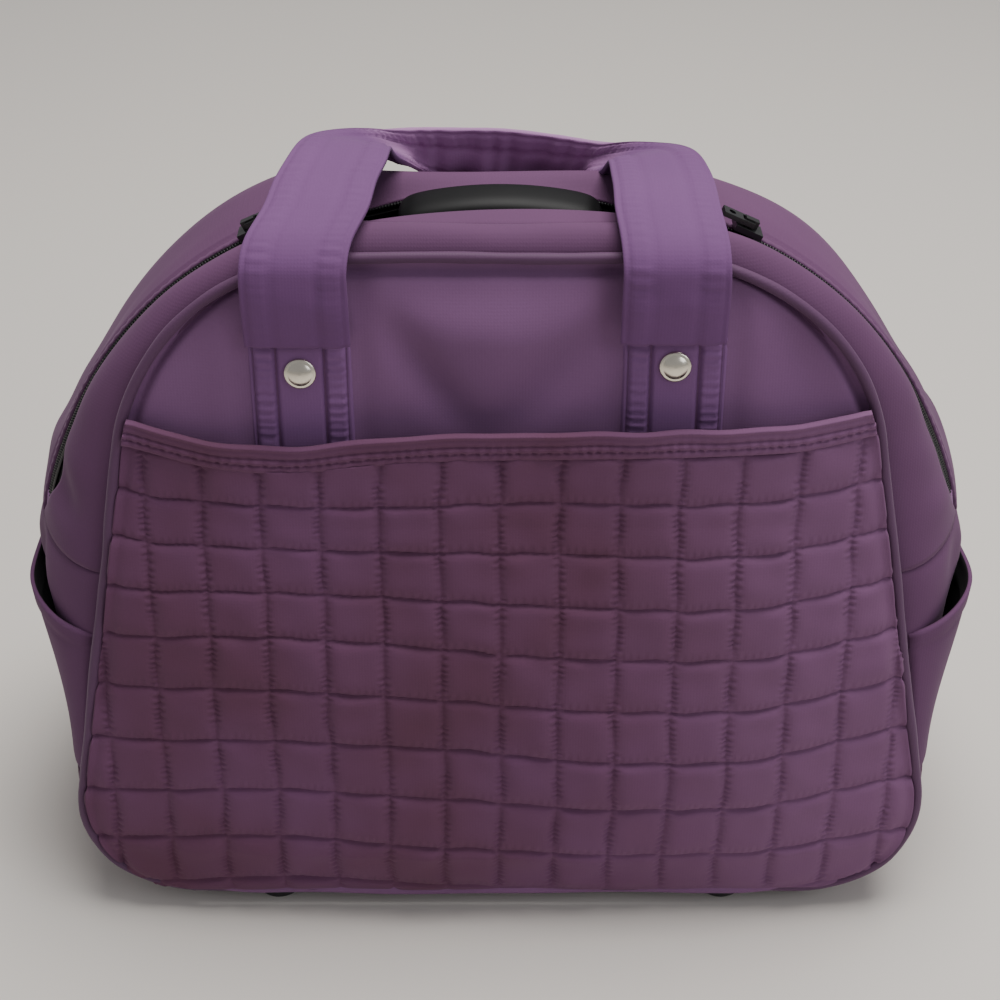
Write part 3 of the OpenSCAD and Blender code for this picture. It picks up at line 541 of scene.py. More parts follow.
def cut_for_housings(obj):
    """Removes the cloth inside the wheel housings, so that its edge tucks into them."""
    tuck, tuck_front, tuck_top = 0.003, 0.002, 0.005
    mesh = obj.data
    co = np.empty(len(mesh.vertices) * 3)
    mesh.vertices.foreach_get("co", co)
    x, y, z = co.reshape(-1, 3).T
    inside = np.zeros(len(x), bool)
    for node in ("wheel_housing_left", "wheel_housing_right"):
        low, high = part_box(node)
        inside |= (x > low[0] + tuck) & (x < high[0] - tuck) & (y > low[1] + tuck_front) & (
            z < high[2] - tuck_top)
    bm = bmesh.new()
    bm.from_mesh(mesh)
    bm.verts.ensure_lookup_table()
    bmesh.ops.delete(bm, geom=[bm.verts[i] for i in np.nonzero(inside)[0]], context="VERTS")
    bm.to_mesh(mesh)
    bm.free()


# ---- gussets
def swell(ring, y):
    """The gusset stands out a little more round the ends of the zip."""
    s = np.clip(y / depth_at(ring)[:, None], -1, 1)
    return 0.0034 * bump(ring[:, 1:2], 0.165, 0.045) * (1 - s * s) ** 0.25


def sink(ring, y):
    """The dome's front edge drops behind the trolley's grip and follows its arch."""
    arch = 0.0072 * (ring[:, 0:1] / 0.047) ** 2
    return -(0.0085 + arch) * bump(y, 0.010, 0.010) * slit(ring, 6)[:, None]


def zip_joined(ring):
    """0 on the seam at the zip's end, where the gussets meet flat, and 1 above it."""
    return smooth(ring[:, 1:2], ZIP_END_V, ZIP_END_V + SEAM_FADE)


def zip_lines(ring, front_gape, rear_gape):
    """The Y of each side of the zip: both draw apart round the trolley's grip."""
    lip = np.maximum(0, 1 - ((ring[:, 0] - 0.008) / 0.060) ** 2) * (ring[:, 1] > SHOULDER_V)
    return ZIP_Y - front_gape - SLIT_FRONT * lip, ZIP_Y + rear_gape + SLIT_REAR * slit(ring, 6)


def zip_edges(ring):
    """Where the cloth ends on each side of the zip: it is pulled open down both sides of the bag."""
    pulled = smooth(-ring[:, 1], -0.264, -0.222) * smooth(ring[:, 1], ZIP_END_V, ZIP_END_V + 0.024)
    return zip_lines(ring, 0.0007 + 0.0078 * pulled, 0.0007 + 0.0022 * pulled)


def zip_gusset_front():
    """From the front piping to the zip: a soft roll, then a sewn placket beside the zip."""
    ring, s = dense(ARCH)
    edge, _ = zip_edges(ring)
    depth = depth_at(ring)[:, None]
    y, t = columns(ring, -depth_at(ring), edge - 0.0012, 44)
    joined = zip_joined(ring)
    low = smooth(-ring[:, 1], -0.26, -0.17)[:, None]
    placket = edge[:, None] - ZIP_Y + 0.0042
    gap = edge[:, None] - y
    across = np.clip((y + depth) / (edge[:, None] - placket + depth), 0, 1)
    arch = np.sin(across * math.pi)
    roll = 0.0046 * arch**0.7 * (1 - 0.45 * low)
    off = joined * (roll - 0.0014 - 0.0024 * bump(gap, placket, 0.0010))
    off += swell(ring, y)
    off -= 0.0034 * bump(t, 0.0, 0.05)[None, :] + 0.0008 * smooth(-gap, -0.0014, 0.0)
    unevenness = waves(surf(ring, y, off), 0.05, 21)
    off += joined * arch * 0.0006 * unevenness * (1 + 1.5 * low)
    off += joined * low * arch * 0.0020 * wave1(s[:, None] + 0.3 * y, 0.045, 5)
    return sheet_grid("zip_gusset_front_cloth", surf(ring, y, off), M_GUSSET_SHADED, GUSSET_CLOTH)


def zip_gusset_rear():
    """From the zip to the rear piping: a ribbed hem, a seam, then the dome, which sinks towards the grip."""
    rib_pitch = 0.0040
    ring, s = dense(ARCH)
    _, edge = zip_edges(ring)
    y, t = columns(ring, edge + 0.0012, depth_at(ring), 84)
    gap = y - edge[:, None]
    mouth = slit(ring, 6)[:, None]
    joined = zip_joined(ring)
    before_piping = (1 - smooth(t, 0.8, 1.0))[None, :]
    off = 0.0010 * smooth(gap, 0.006, 0.020) * before_piping - 0.0010 - 0.0014 * mouth
    off = joined * (off - 0.0020 * bump(gap, 0.0060, 0.0009) * (1 - mouth))
    off += sink(ring, y) + swell(ring, y)
    off -= 0.0060 * bump(ring[:, 1:2], 0.232, 0.034) * smooth(gap, 0.002, 0.024) * before_piping
    off -= 0.0022 * bump(t, 1.0, 0.03)[None, :]
    unevenness = waves(surf(ring, y, off), 0.08, 31)
    low = smooth(-ring[:, 1], -0.27, -0.18)[:, None]
    across = np.sin(t * math.pi)[None, :]
    off += joined * across * 0.0010 * unevenness * (1 + low)
    off += joined * across * low * 0.0020 * wave1(s[:, None] - 0.4 * y, 0.05, 9)
    rib = np.sin(math.tau * (s[:, None] + 0.5 * gap) / rib_pitch)
    off += 0.00030 * rib * bump(gap, 0.0032, 0.0022) * (1 - mouth)
    return sheet_grid("zip_gusset_rear_cloth", surf(ring, y, off), M_GUSSET_SHADED, GUSSET_CLOTH)


def side_gusset(side):
    """The flank below the zip, with gathers that fan down from the zip's end."""
    fan_top, gathers = 0.20, 9
    base = between(HALF, SIDE_V0 + 0.0001, ZIP_END_V)
    ring, _ = dense(base if side > 0 else flip(base))
    y, t = columns(ring, -depth_at(ring), depth_at(ring), 96)
    v = ring[:, 1:2]
    off = -0.0022 * (bump(t, 0, 0.012) + bump(t, 1, 0.012))[None, :] + 0 * v
    unevenness = waves(surf(ring, y, off) * [1, 1, 0.5], 0.07, 41 + side)
    across = np.sin(t * math.pi)[None, :] ** 0.5
    joined = 1 - smooth(v, 0.140, ZIP_END_V)
    off = off + swell(ring, y) + joined * across * 0.0014 * unevenness
    fan = np.sin(np.arctan2(y - ZIP_Y, fan_top - v) * gathers + side) * np.exp(-np.abs(y - ZIP_Y) / 0.03)
    off += smooth(v, 0.09, 0.16) * 0.0024 * fan * smooth(-v, -ZIP_END_V, -0.150)
    off -= 0.0016 * bump(v, ZIP_END_V, 0.004)
    return sheet_grid(f"side_gusset_{SIDES[side]}_cloth", surf(ring, y, off), M_GUSSET_SHADED, GUSSET_CLOTH)


def base_panel():
    ring, _ = dense(np.concatenate([flip(BASE_HALF), BASE_HALF[1:]]), 0.004)
    y, t = columns(ring, -depth_at(ring), depth_at(ring), 60)
    off = -0.0016 * (bump(t, 0, 0.02) + bump(t, 1, 0.02))[None, :] + 0 * y
    corner = smooth(np.abs(ring[:, 0]), 0.10, 0.16)[:, None]
    off = off + corner * 0.0012 * waves(surf(ring, y, off), 0.07, 51)
    obj = sheet_grid("base_panel_cloth", surf(ring, y, off), M_BASE, GUSSET_CLOTH)
    cut_for_housings(obj)
    return obj


def piping(name, point, seed):
    """The sewn-in cord round a panel, pulled in along the straight top."""
    cord_r = 0.0023
    ring, _ = dense(np.concatenate([RING, RING[:1]]), 0.003)
    ring = ring[:-1]
    index = np.arange(len(ring))
    out = 0.0005 + 0.0003 * wave1(index, 40, seed) - 0.0024 * smooth(-ring[:, 3], 0.6, 1.0)
    path = point(ring[:, 0] + out * ring[:, 2], ring[:, 1] + out * ring[:, 3], np.zeros(len(ring)))
    radius = cord_r * (1 + 0.04 * wave1(index, 9, seed + 1))
    verts, faces = tube_mesh(path, radius, 12, closed=True)
    return new_object(name, verts, faces, M_PIPING)


# ---- quilted pocket
SEAM_PITCH, ROW_H = 0.0247, 0.026
ROW_0, ROW_STEP, ROW_CLOSE = 0.0287, 0.0284, 0.00036
CELL_COLS, CELL_ROWS = 40, 12
FINE_ROWS, FINE_COLS, HEM_ROWS, HEM_COLS = 330, 560, 34, 460
HEM = 0.0120
POCKET_FOOT = 0.0035


def pocket_top(u):
    """The height of the pocket's top edge: it dips left of the middle and climbs to the sides."""
    rise = 0.0133 * u + 0.005 * smooth(np.abs(u), 0.115, 0.165)
    return 0.2437 + rise - 0.0056 * bump(u, -0.092, 0.042)


def row_height(u, r):
    """How far row r of the quilting bows upwards at u."""
    upper = np.maximum(0, r - 4)
    left = 0.0114 * bump(u, -0.100, 0.088) * np.clip(1 - 0.36 * upper, -0.1, 1)
    left += 0.0050 * smooth(-u, 0.135, 0.18) * np.minimum(1, 0.36 * upper)
    return left + 0.0016 * bump(u, 0.0, 0.04) + 0.0088 * smooth(u, 0.100, 0.175)


def quilt_row(u, v):
    """The row coordinate: whole numbers are the sewn lines across, which close up towards the top."""
    r = v / ROW_H - 1
    for _ in range(5):
        base = np.minimum(v - row_height(u, r) - ROW_0, 0.5)
        r = (ROW_STEP - np.sqrt(ROW_STEP**2 - 4 * ROW_CLOSE * base)) / (2 * ROW_CLOSE)
    return r


def pocket_lift(u, v):
    """How far the pocket stands off the panel: sewn down at its sides and foot, slack in its middle."""
    t = np.clip(np.abs(u) / (half_width(v) - 0.005), 0, 1)
    arch = 0.006 + 0.009 * np.sin(math.pi * np.minimum(v / (POCKET_H * 0.98), 0.86))
    return 0.0030 + arch * np.minimum(1, v / 0.030) * (1 - t**4) * (0.92 + 0.10 * bump(u, 0.05, 0.09))


def pocket_surface(u, v):
    """The pocket's outer face: padded cells between sewn channels, gathered by their stitches."""
    wobble = 0.0007 * wave1(v, 0.11, 61) + 0.0004 * wave1(v + u * 0.3, 0.03, 62)
    lean = 0.014 * (v - 0.14) * np.sign(u) * smooth(np.abs(u), 0.05, 0.18)
    column = (u + wobble + lean) / SEAM_PITCH
    row = quilt_row(u, v + 0.0004 * wave1(u, 0.028, 63))
    du = np.abs(column - np.round(column)) * SEAM_PITCH
    above, below = (row - np.floor(row)) * ROW_H, (np.ceil(row) - row) * ROW_H
    i, j = np.floor(column).astype(int), np.clip(np.floor(row).astype(int), -1, 9)
    cell = (i + CELL_COLS // 2, j + 1)
    puff = np.random.default_rng(8).uniform(0.8, 1.2, (CELL_COLS, CELL_ROWS))[cell]
    tilt = np.random.default_rng(9).uniform(-1, 1, (CELL_COLS, CELL_ROWS))[cell]
    # each cell rolls under above a sewn line and starts with a steep lip just below it
    sides = 1 - np.exp(-((du / 0.0026) ** 1.4))
    ends = (1 - np.exp(-((above / 0.0036) ** 1.2))) * (1 - np.exp(-((below / 0.0018) ** 1.3)))
    height = 0.0020 * sides * ends * puff
    height += 0.0004 * sides * ends * tilt * np.sin((column - np.floor(column)) * math.pi * 2)
    height -= 0.0008 * bump(np.minimum(above, below), 0, 0.0006) + 0.0003 * bump(du, 0, 0.0009)
    # the stitches gather the cloth beside each seam into short creases
    tick = np.sin(math.tau * v / 0.0029 + 2.2 * np.sin(v * 260 + i * 2.1) + i * 1.7)
    strong = 0.35 + 0.65 * (np.sin(i * 5.3 + np.floor(v / 0.013) * 2.7) > -0.3)
    height += 0.00050 * tick * strong * bump(du, 0.0011, 0.0015)
    tick = np.sin(math.tau * u / 0.0037 + j * 1.3 + 1.5 * np.sin(u * 230))
    height += 0.00022 * tick * bump(above, 0.0026, 0.002)
    place = np.stack([u, 0 * u, v], -1)
    slack = waves(place, 0.020, 66) * sides * ends
    w = pocket_lift(u, v) + height * smooth(v, 0.0, 0.010) + 0.00030 * slack
    return w + 0.0012 * waves(place, 0.10, 64)


def pocket_grid(rows, cols, low, high):
    """u and v over the pocket, in rows from low(u) up to high(u), and each row's share of the way."""
    q = np.linspace(0, 1, rows)[:, None]
    t = np.linspace(-1, 1, cols)[None, :] * np.ones((rows, 1))
    v = 0.12 + 0 * t
    for _ in range(6):
        u = t * (half_width(v) - 0.0016)
        v = low(u) * (1 - q) + high(u) * q
    return u, v, q


def quilted_pocket():
    u, v, _ = pocket_grid(FINE_ROWS, FINE_COLS, lambda u: POCKET_FOOT + 0 * u,
                          lambda u: pocket_top(u) - HEM + 0.0008)
    w = pocket_surface(u, v) - 0.0018 * bump(half_width(v) - 0.0035 - np.abs(u), 0.0, 0.004)
    return sheet_grid("quilted_pocket_cloth", panel(u, v, w), M_QUILT_LIT_RIGHT, QUILT_CLOTH)


def pocket_hem():
    """The folded band along the pocket's mouth: a stitch line, a flat strip, a crease and a rolled edge."""
    u, v, q = pocket_grid(HEM_ROWS, HEM_COLS, lambda u: pocket_top(u) - HEM, pocket_top)
    d = q * HEM
    w = pocket_lift(u, v) + 0.0016 + 0.0006 * smooth(d, 0.0, 0.0012) - 0.0006 * bump(d, 0.0062, 0.0005)
    w += 0.0006 * bump(d, 0.0047, 0.0011) + 0.0007 * bump(d, 0.0083, 0.0016)
    w += 0.0012 * bump(d, 0.0109, 0.0011)
    w -= 0.0008 * bump(d, 0.0031, 0.0005) * (0.4 + 0.6 * (np.sin(math.tau * u / 0.0032) > -0.4))
    w += 0.00030 * np.sin(math.tau * u / 0.0052 + 2 * np.sin(u * 170)) * bump(d, 0.0040, 0.0030)
    w += 0.0006 * wave1(u, 0.035, 71) * d / HEM - 0.0016 * smooth(d, 0.0110, HEM)
    return sheet_grid("pocket_hem_band", panel(u, v, w), M_QUILT_LIT_RIGHT, HEM_CLOTH)


# ---- side pockets
SIDE_MOUTH_Z, SIDE_POCKET_REAR, SIDE_HEM = 0.146, 0.046, 0.009
SIDE_FLARE = {-1: 0.0048, 1: 0.0072}


def side_pocket(side):
    """A patch pocket over the flank, whose mouth gapes towards the front."""
    mouth_v = (SIDE_MOUTH_Z - BASE_Z) / COS
    base = between(HALF, SIDE_V0 + 0.004, mouth_v)
    ring, _ = dense(base if side > 0 else flip(base))
    q = np.linspace(0, 1, 90)[None, :]
    y = (-depth_at(ring)[:, None] - 0.0005) * (1 - q) + SIDE_POCKET_REAR * q
    v = ring[:, 1:2] + 0 * y
    rise = np.clip((v - SIDE_V0) / (mouth_v - SIDE_V0), 0, 1)
    slack = np.sin(q * math.pi)
    flare = SIDE_FLARE[side] * bump(y, -0.052, 0.028) + 0.0010 * slack
    off = 0.0010 + swell(ring, y) + flare * smooth(rise, -0.10, 0.90)
    unevenness = waves(np.stack([0 * y, y, v], -1), 0.06, 81 + side)
    off += 0.0012 * smooth(rise, 0.0, 0.1) + 0.0008 * unevenness * slack
    off -= 0.0016 * bump(q, 0.0, 0.04) + 0.0012 * bump(q, 1.0, 0.05)
    off += 0.0009 * smooth(v, mouth_v - SIDE_HEM, mouth_v - SIDE_HEM + 0.0015)
    off -= 0.0008 * bump(v, mouth_v - SIDE_HEM, 0.0012)
    return sheet_grid(f"side_pocket_{SIDES[side]}_cloth", surf(ring, y, off), M_GUSSET_SHADED, SIDE_POCKET_CLOTH)


# ---- straps
def curve_through(points, steps=24):
    """A smooth curve through points (Catmull-Rom)."""
    p = np.asarray(points, float)
    p = np.concatenate([[2 * p[0] - p[1]], p, [2 * p[-1] - p[-2]]])
    t = np.linspace(0, 1, steps, endpoint=False)[:, None]
    out = []
    for a, b, c, d in zip(p, p[1:], p[2:], p[3:]):
        square, cube = 2 * a - 5 * b + 4 * c - d, 3 * b - a - 3 * c + d
        out.append(0.5 * (2 * b + (c - a) * t + square * t**2 + cube * t**3))
    out.append(p[-2][None])
    return np.concatenate(out)


def strap_relief(x, run, seed):
    """Relief at x across a strap (-1 to 1) and a length along it: two side bands, each sewn twice."""
    a = np.abs(x) * STRAP_W / 2
    h = 0.0004 * (1 - (x * x))
    h -= 0.0011 * bump(a, 0.0098, 0.0008) + 0.0008 * bump(a, 0.0186, 0.0006)
    band = smooth(a, 0.0100, 0.0112) * (1 - smooth(a, 0.0178, 0.0190))
    phase = math.tau * run / 0.0040 + 1.3 * wave1(run, 0.022, seed) + x * 1.2
    uneven = 0.5 + 0.5 * smooth(wave1(run, 0.03, seed + 1), -0.6, 0.9)
    h += 0.0003 * band + 0.00030 * band * np.sin(phase) * uneven
    h += 0.00016 * (bump(a, 0.0112, 0.0012) + bump(a, 0.0174, 0.0012)) * np.sin(phase * 1.3)
    return h


def strap_section(run, points, squareness, seed):
    """Round a strap at each length in run: x across (-1 to 1), face (1 outer, -1 inner) and distance out."""
    a = circle(points)
    x, face = signed_power(-np.cos(a), squareness), signed_power(np.sin(a), 0.35)[None, :]
    relief = strap_relief(x[None, :] * np.ones((len(run), 1)), run[:, None], seed)
    return x, face, face * (STRAP_HALF + relief * (np.abs(np.sin(a)) > 0.05))


def strap_uv(x, run):
    shape = (len(run), len(x))
    uv = np.stack([np.broadcast_to(x * STRAP_W / 2, shape), np.broadcast_to(run[:, None], shape)], -1)
    return uv.reshape(-1, 2)


# the line that the rear handle hangs down, as Y and Z
REAR_PATH = [
    (0.079, 0.262), (0.0825, 0.230), (0.088, 0.200), (0.093, 0.160),
    (0.098, 0.110), (0.101, 0.070), (0.103, 0.030),
]


def rear_handle():
    """A U of webbing that hangs down the rear panel, laid along REAR_PATH."""
    step, inner_r, half, grip_half, seed = 0.002, 0.005, STRAP_W / 2, 0.045, 111
    profile = curve_through(REAR_PATH)
    along = lengths(profile)
    tangent = np.gradient(profile, axis=0)
    tangent /= np.linalg.norm(tangent, axis=1)[:, None]

    # the strap's two edges as x and length: up a leg, round the turn, along half of the grip, then mirrored
    turn_x, turn_l = LEG_X - half - inner_r, REACH - half - inner_r
    rows = [(-LEG_X - half, l, -LEG_X + half, l) for l in np.arange(0.0015, turn_l, step)]
    for a in np.linspace(math.pi, math.pi / 2, 34):
        outer, inner = STRAP_W + inner_r, inner_r
        rows.append((-turn_x + outer * math.cos(a), turn_l + outer * math.sin(a),
                     -turn_x + inner * math.cos(a), turn_l + inner * math.sin(a)))
    rows += [(x, REACH + half, x, REACH - half) for x in np.arange(-turn_x + step, -step / 2, step)]
    rows = np.array(rows)
    rows = np.concatenate([rows, rows[::-1] * [-1, 1, -1, 1]])

    run = np.arange(len(rows)) * step
    x, face, off = strap_section(run, 44, 0.75, seed)
    q = (x + 1) / 2
    across = rows[:, 0:1] * (1 - q) + rows[:, 2:3] * q
    down = rows[:, 1:2] * (1 - q) + rows[:, 3:4] * q
    # the strap bows a little, and the grip's doubled cloth wrinkles
    off = off + 0.0006 * wave1(run, 0.06, seed + 3)[:, None]
    wrinkle = np.sin(math.tau * across / 0.013 + 3 * q[None, :])
    off += smooth(-np.abs(across), -grip_half, -0.006) * 0.0011 * wrinkle * face
    y, z = (np.interp(down, along, column) for column in profile.T)
    ty, tz = (np.interp(down, along, column) for column in tangent.T)
    points = np.stack([across, y - off * tz, z + off * ty], axis=-1).reshape(-1, 3)
    faces = flipped(capped_faces(len(rows), len(x)))
    return new_object("rear_handle_cloth", points, faces, M_TAB, strap_uv(x, run), "rear_handle")


# the front handle's left half, from the fold to the middle of the grip: its outer edge, then its inner edge
HANDLE_EDGES = [
    (-0.096, -0.0724, 0.287, -0.054, -0.0724, 0.287),
    (-0.096, -0.0728, 0.296, -0.054, -0.0728, 0.296),
    (-0.096, -0.074, 0.309, -0.054, -0.074, 0.309),
    (-0.0957, -0.073, 0.3205, -0.054, -0.073, 0.3205),
    (-0.095, -0.064, 0.3285, -0.0532, -0.064, 0.3285),
    (-0.093, -0.047, 0.334, -0.0515, -0.047, 0.334),
    (-0.09, -0.03, 0.3385, -0.049, -0.03, 0.3385),
    (-0.0862, -0.015, 0.341, -0.0458, -0.014, 0.34),
    (-0.0825, 0.0, 0.3415, -0.045, 0.001, 0.338),
    (-0.078, 0.012, 0.34, -0.0446, 0.013, 0.3315),
    (-0.071, 0.021, 0.338, -0.043, 0.0235, 0.324),
    (-0.06, 0.031, 0.3345, -0.0385, 0.0395, 0.3135),
    (-0.044, 0.042, 0.33, -0.029, 0.0588, 0.2992),
    (-0.024, 0.0485, 0.3275, -0.015, 0.0668, 0.2918),
    (0.0, 0.051, 0.3262, 0.0, 0.0695, 0.288),
]


def front_handle():
    """One length of webbing: up from the fold, back over the zip and turned on edge behind the dome."""
    left = np.array(HANDLE_EDGES).reshape(-1, 2, 3)
    right = left[::-1][1:] * [-1, 1, 1]
    # both arms lean to the bag's left, and the right one lies lower
    left[..., 0] += STRAP_SHIFT * (1 - smooth(left[..., 1], -0.070, -0.050))
    right[..., 0] -= 0.0065 * (1 - smooth(right[..., 1], -0.050, -0.005))
    right[..., 2] -= 0.006 * smooth(right[..., 1], -0.050, -0.010) * smooth(right[..., 0], 0.004, 0.040)
    stations = np.concatenate([left, right])
    outer, inner = curve_through(stations[:, 0]), curve_through(stations[:, 1])
    along = lengths((outer + inner) / 2)
    run = np.arange(0, along[-1], 0.0014)
    outer, inner = sample(outer, along, run), sample(inner, along, run)
    across = (inner - outer) / np.linalg.norm(inner - outer, axis=1)[:, None]
    normal = np.cross(across, np.gradient((outer + inner) / 2, axis=0))
    normal /= np.linalg.norm(normal, axis=1)[:, None]

    x, face, off = strap_section(run, 60, 0.7, 101)
    q = ((x + 1) / 2)[None, :, None]
    base = outer[:, None] * (1 - q) + inner[:, None] * q
    px, py, pz = np.moveaxis(base, -1, 0)
    core = (1 - x * x)[None, :]
    riser = 1 - smooth(pz, 0.306, 0.318)
    above_fold = smooth(pz, 0.287, 0.298)
    off = off + riser * above_fold * core * (0.0012 + 0.0009 * waves(base, 0.022, 104))
    grip = smooth(py, 0.024, 0.040)
    crease = np.sin(math.tau * px / 0.011 + 1.4 * np.sin(px * 190) + 2.5 * q[..., 0])
    off += grip * 0.0007 * crease * face * core**0.5
    off += 0.0006 * wave1(run, 0.06, 107)[:, None] * above_fold
    points = (base + off[..., None] * normal[:, None]).reshape(-1, 3)
    faces = flipped(capped_faces(len(run), len(x)))
    obj = new_object("front_handle_cloth", points, faces, M_STRAP_PAINTED_SHADE_AND_LIGHT, strap_uv(x, run), body=None)
    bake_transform(obj)
    return obj


def tabs(name, point, v0, v1, shift, seed, rear=False):
    """The sewn root of a handle: two lengths of strap stitched flat to the panel."""
    v = np.arange(v0, v1 + 1e-9, 0.0012)
    x = np.linspace(-1, 1, 56)
    parts = []
    for k, side in enumerate((-1, 1)):
        relief = strap_relief(x[None, :] * np.ones((len(v), 1)), v[:, None] + 0.3 * k, seed + k)
        w = 0.0022 + relief * 2.0 - 0.0016 * smooth(np.abs(x), 0.93, 1.0)[None, :]
        w = w - 0.0008 * bump(v, v1 - 0.003, 0.001)[:, None]
        u = side * LEG_X + shift + x[None, :] * STRAP_W / 2 + 0 * w
        face = point(u, v[:, None] + 0 * w, w)
        back = point(u, v[:, None] + 0 * w, 0 * w + 0.0002)
        loop = np.concatenate([face, back[:, ::-1]], axis=1)
        faces = capped_faces(*loop.shape[:2])
        parts.append((loop.reshape(-1, 3), flipped(faces) if rear else faces))
    return many(name, parts, M_TAB)


# ---- rivets and feet
RIVET_RADII = np.array([0, 1.6, 3.0, 4.2, 4.9, 5.2, 5.7, 6.3, 6.5, 6.4]) / 1000
RIVET_RISES = np.array([2.6, 2.5, 2.2, 1.7, 1.2, 1.0, 1.05, 0.8, 0.4, -0.6]) / 1000
TAB_FACE = 0.0032
FOOT_RADII = np.array([7.5, 10.2, 10.9, 11.0, 10.6, 9.6, 7.0, 0]) / 1000
FOOT_HEIGHTS = np.array([10.5, 9.0, 7.0, 3.0, 1.2, 0.35, 0.0, 0.0]) / 1000
FOOT_INSET = 0.009


def turned(rings):
    """Vertices and faces of a turned shape, from an (n, m, 3) stack of round rings."""
    return rings.reshape(-1, 3), flipped(grid_faces(*rings.shape[:2], closed_m=True))


def rivets():
    """Two domed caps with a stepped rim, one through each root of the front handle."""
    a = circle(40)
    parts = []
    for side in (-1, 1):
        u = side * LEG_X + STRAP_SHIFT + RIVET_RADII[:, None] * np.cos(a)
        v = RIVET_V + 0.0015 * side + RIVET_RADII[:, None] * np.sin(a)
        parts.append(turned(panel(u, v, (RIVET_RISES + TAB_FACE)[:, None] + 0 * u)))
    return many("front_rivet_caps", parts, M_RIVET)


def feet():
    """Two soft rubber feet under the front edge of the base."""
    a = circle(48)
    low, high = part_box("front_feet")
    middle_y = (low[1] + high[1]) / 2
    parts = []
    for side in (-1, 1):
        x = side * (high[0] - FOOT_INSET) + FOOT_RADII[:, None] * np.cos(a)
        y = middle_y + FOOT_RADII[:, None] * np.sin(a)
        parts.append(turned(np.stack([x, y, FOOT_HEIGHTS[:, None] + 0 * a], -1)))
    return many("front_feet_rubber", parts, M_RUBBER)


# ---- zip
def coil(name, front):
    """One row of the zip's teeth along the edge of its tape."""
    tooth_pitch, core_r = 0.0013, 0.0008
    tooth_radii = [0.00042, 0.0005, 0.00042]
    ring, _ = dense(ARCH, tooth_pitch)
    line_front, line_rear = zip_lines(ring, 0.0009, 0.0009)
    y, outwards = (line_front, -1) if front else (line_rear, 1)
    low = -0.0026 - 0.0016 * slit(ring, 3)[:, None]

    def line(across, lift):
        at = (y + outwards * across)[:, None]
        return surf(ring, at, low + lift + swell(ring, at) + (0 if front else sink(ring, at)))[:, 0]

    tip, crown, root = line(-0.0006, 0), line(0.0004, 0.0010), line(0.0014, 0)
    parts = [tube_mesh(np.array(tooth), tooth_radii, 5) for tooth in zip(root, crown, tip)]
    along = lengths(root)
    core = sample(root, along, np.linspace(0, along[-1], int(round(along[-1] / 0.003)) + 1))
    parts.append(tube_mesh(core, core_r, 6))
    return many(name, parts, M_COIL)


def tape(name, front):
    """The strip between a row of teeth and the cloth it is sewn under."""
    under = 0.006
    ring, _ = dense(ARCH, 0.003)
    edge_front, edge_rear = zip_edges(ring)
    line_front, line_rear = zip_lines(ring, 0.0008, 0.0008)
    y0, y1 = (edge_front - under, line_front) if front else (line_rear, edge_rear + under)
    q = np.linspace(0, 1, 10)[None, :]
    y = y0[:, None] * (1 - q) + y1[:, None] * q
    off = swell(ring, y) - 0.0040 - 0.0022 * slit(ring, 3)[:, None] + 0 * y
    off += 0 if front else sink(ring, y)
    return sheet_grid(name, surf(ring, y, off), M_TAPE, TAPE_CLOTH, lined=False)


def lining_shell():
    """The lining seen through the gap of the zip."""
    depth_below = 0.0075
    ring, _ = dense(ARCH, 0.005)
    depth = depth_at(ring)
    edge_front, edge_rear = zip_edges(ring)
    parts = []
    for y0, y1, m in ((0.002 - depth, edge_front - 0.001, 14), (edge_rear + 0.001, depth - 0.002, 18)):
        y, _ = columns(ring, y0, y1, m)
        p = surf(ring, y, sink(ring, y) - depth_below)
        parts.append((p.reshape(-1, 3), grid_faces(*p.shape[:2])))
    obj = many("arch_lining", parts, M_LINING)
    mod = obj.modifiers.new("thickness", "SOLIDIFY")
    mod.thickness, mod.offset = 0.0006, 0.0
    return obj


# ---- trolley grip
def trolley_grip():
    """A smooth arch over the two CAD shells, with a parting line round it."""
    arch_r, thick, deep, half_length, top_z = 0.154, 0.016, 0.022, 0.0427, 0.320
    middle_r = arch_r - thick / 2
    half = math.asin(half_length / middle_r)
    phi = np.linspace(-half, half, 90)
    a = circle(48)
    out = signed_power(np.sin(a), 0.72) * thick / 2
    wide = signed_power(np.cos(a), 0.72) * deep / 2
    rounded_end = np.sqrt(np.clip(1 - (np.abs(phi) / half) ** 14, 0.02, 1))[:, None]
    groove = 1 - 0.02 * bump(np.abs(out), 0.0, 0.0005)[None, :]
    r = middle_r + out[None, :] * rounded_end
    x, z = r * np.sin(phi)[:, None], r * np.cos(phi)[:, None] - arch_r
    y = wide[None, :] * rounded_end * groove
    verts = np.stack([x, y * COS - z * SIN, y * SIN + z * COS + top_z], -1).reshape(-1, 3)
    return new_object("trolley_grip_arch", verts, capped_faces(len(phi), len(a)), M_GRIP, body="stage_3")


